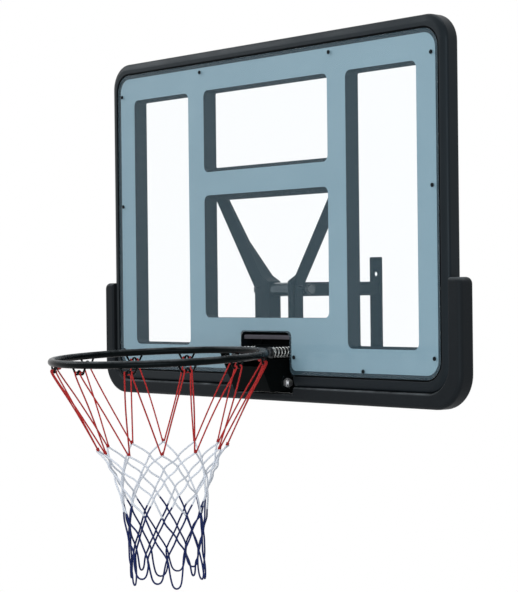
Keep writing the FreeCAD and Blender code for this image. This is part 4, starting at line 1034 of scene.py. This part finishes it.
# %% White and blue cords
CORD_RADIUS = 0.0020
BLUE_FROM, BLUE_TO = -0.332, -0.318
white_lines = []
blue_lines = []
for k in range(HOOK_COUNT):
    line = smooth_line(mesh_route(k), steps=4)
    lowest = min(range(len(line)), key=lambda i: line[i].z)
    down = next(i for i in range(len(line)) if line[i].z < BLUE_FROM)
    up = next(i for i in range(lowest, len(line)) if line[i].z > BLUE_TO)
    white_lines += [line[:down + 1], line[up:]]
    blue_lines.append(line[down:up + 1])
white_mesh = swept_tubes("net_white_cords", white_lines, CORD_RADIUS, roundness=2, matrix=ring_frame)
stand_for(white_mesh, white_cord, "net_white")
blue_mesh = swept_tubes("net_blue_cords", blue_lines, CORD_RADIUS, roundness=2, matrix=ring_frame)
stand_for(blue_mesh, blue_cord, "net_blue")
print("mesh faces", len(white_mesh.data.polygons), len(blue_mesh.data.polygons))

# %% [markdown]
# ## Springs
# Two compression springs press the bracket back against the board. A small circle spun about the
# bolt's axis, with a step along it, winds the wire: one close turn, five open ones and one close turn
# again. On the real board the springs shorten when the ring gives way; here the mesh keeps its length.

# %% Springs
SPRING_SIDE, SPRING_FRONT, SPRING_HEIGHT = 60.0, -32.0, 111.0
COIL_RADIUS = 0.0108
SPRING_WIRE = 0.0015
SPRING_STEPS = 28
SPRING_TURNS = ((1, 0.0035), (5, 0.0480), (1, 0.0035))
bm = bmesh.new()
for across in (-SPRING_SIDE, SPRING_SIDE):
    wire_end = bmesh.ops.create_circle(bm, segments=10, radius=SPRING_WIRE)["verts"]
    bmesh.ops.translate(bm, verts=wire_end, vec=(COIL_RADIUS, SPRING_WIRE, 0))
    front = wire_end + edges_of(wire_end)
    for turns, rise in SPRING_TURNS:
        steps = SPRING_STEPS * turns
        wound = bmesh.ops.spin(bm, geom=front, cent=(0, 0, 0), axis=(0, 1, 0), dvec=(0, rise / steps, 0),
                               angle=-2 * pi * turns, steps=steps)
        front = wound["geom_last"]
    bmesh.ops.translate(bm, verts=connected(wire_end), vec=place(across, SPRING_FRONT, SPRING_HEIGHT))
springs = closed_piece(bm, "springs")
stand_for(springs, spring_wire, "rim_springs")
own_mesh(springs)
print("spring faces", len(springs.data.polygons))

# %% [markdown]
# ## Screws
# Twelve dark pan-head screws hold the sheet and ten hold the pad's rear lip. A head is a short dome of
# twelve-sided rings bridged together. The innermost loop is a plus sign, pushed in as the recess. The
# rings are turned by half a side, so that their corners face those of the plus sign.

# %% Screw head
DOME = ((1.0, 0.0), (0.98, 0.45), (0.80, 0.85), (0.58, 1.0))
HALF_SIDE = Matrix.Rotation(radians(15), 3, "Z")
RECESS_ARM, RECESS_WAIST, RECESS_DEPTH = 0.42, 0.13, 0.6


def pan_head(bm, matrix, radius, rise):
    """A closed head, shaped in shares of its radius and rise."""
    loops = []
    for share, height in DOME:
        made = bmesh.ops.create_circle(bm, cap_ends=height == 0.0, segments=12, radius=radius * share)
        bmesh.ops.rotate(bm, verts=made["verts"], cent=(0, 0, 0), matrix=HALF_SIDE)
        bmesh.ops.translate(bm, verts=made["verts"], vec=(0, 0, rise * height))
        loops.append(made["verts"])
    arm, waist = radius * RECESS_ARM, radius * RECESS_WAIST
    quarter = ((arm, -waist), (arm, waist), (waist, waist))
    cross = []
    for k in range(4):
        turned = Matrix.Rotation(pi / 2 * k, 3, "Z")
        cross += [bm.verts.new(turned @ Vector((x, y, rise))) for x, y in quarter]
    for a, b in zip(cross, cross[1:] + cross[:1]):
        bm.edges.new((a, b))
    loops.append(cross)
    rims = [edges_of(loop) for loop in loops]
    for lower, upper in zip(rims, rims[1:]):
        bmesh.ops.bridge_loops(bm, edges=lower + upper)
    sunk = bmesh.ops.extrude_edge_only(bm, edges=rims[-1])["geom"]
    deep = [v for v in sunk if isinstance(v, bmesh.types.BMVert)]
    bmesh.ops.translate(bm, verts=deep, vec=(0, 0, -rise * RECESS_DEPTH))
    loops.append(deep)
    floor_edges = [e for e in sunk if isinstance(e, bmesh.types.BMEdge) and all(v in deep for v in e.verts)]
    bmesh.ops.contextual_create(bm, geom=floor_edges)
    bmesh.ops.transform(bm, matrix=matrix, verts=[v for loop in loops for v in loop])


print("screw head ready")

# %% [markdown]
# The screws are set symmetrically, so each place on the drawing is used on both halves. The sheet's
# screws look forward and the pad's look back.

# %% Sheet and pad screws
SHEET_SCREWS = ((224, 771.5), (532, 739), (532, 464.5), (533, 106), (322, 74), (100, 100))
PAD_SCREWS = ((565, 140), (565, 235), (170, 42), (330, 42), (480, 42))
SHEET_FACE, PAD_REAR = 1.0, 44.0


def screw_set(name, places, depth, facing, radius, rise):
    """One piece of screw heads at these places on both halves of the board."""
    bm = bmesh.new()
    for across, height in places:
        for side in (-1, 1):
            pan_head(bm, Matrix.Translation(place(across * side, depth, height)) @ facing, radius, rise)
    bmesh.ops.recalc_face_normals(bm, faces=bm.faces)
    screws = piece_from(bm, name)
    screws.data.materials.append(powder_coat)
    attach(screws, "board")


to_front = Matrix.Rotation(pi / 2, 4, "X")
to_rear = Matrix.Rotation(-pi / 2, 4, "X")
screw_set("sheet_screws", SHEET_SCREWS, SHEET_FACE, to_front, radius=0.0046, rise=0.0022)
screw_set("pad_screws", PAD_SCREWS, PAD_REAR, to_rear, radius=0.0050, rise=0.0024)
print("screws", len(SHEET_SCREWS) * 2, len(PAD_SCREWS) * 2)
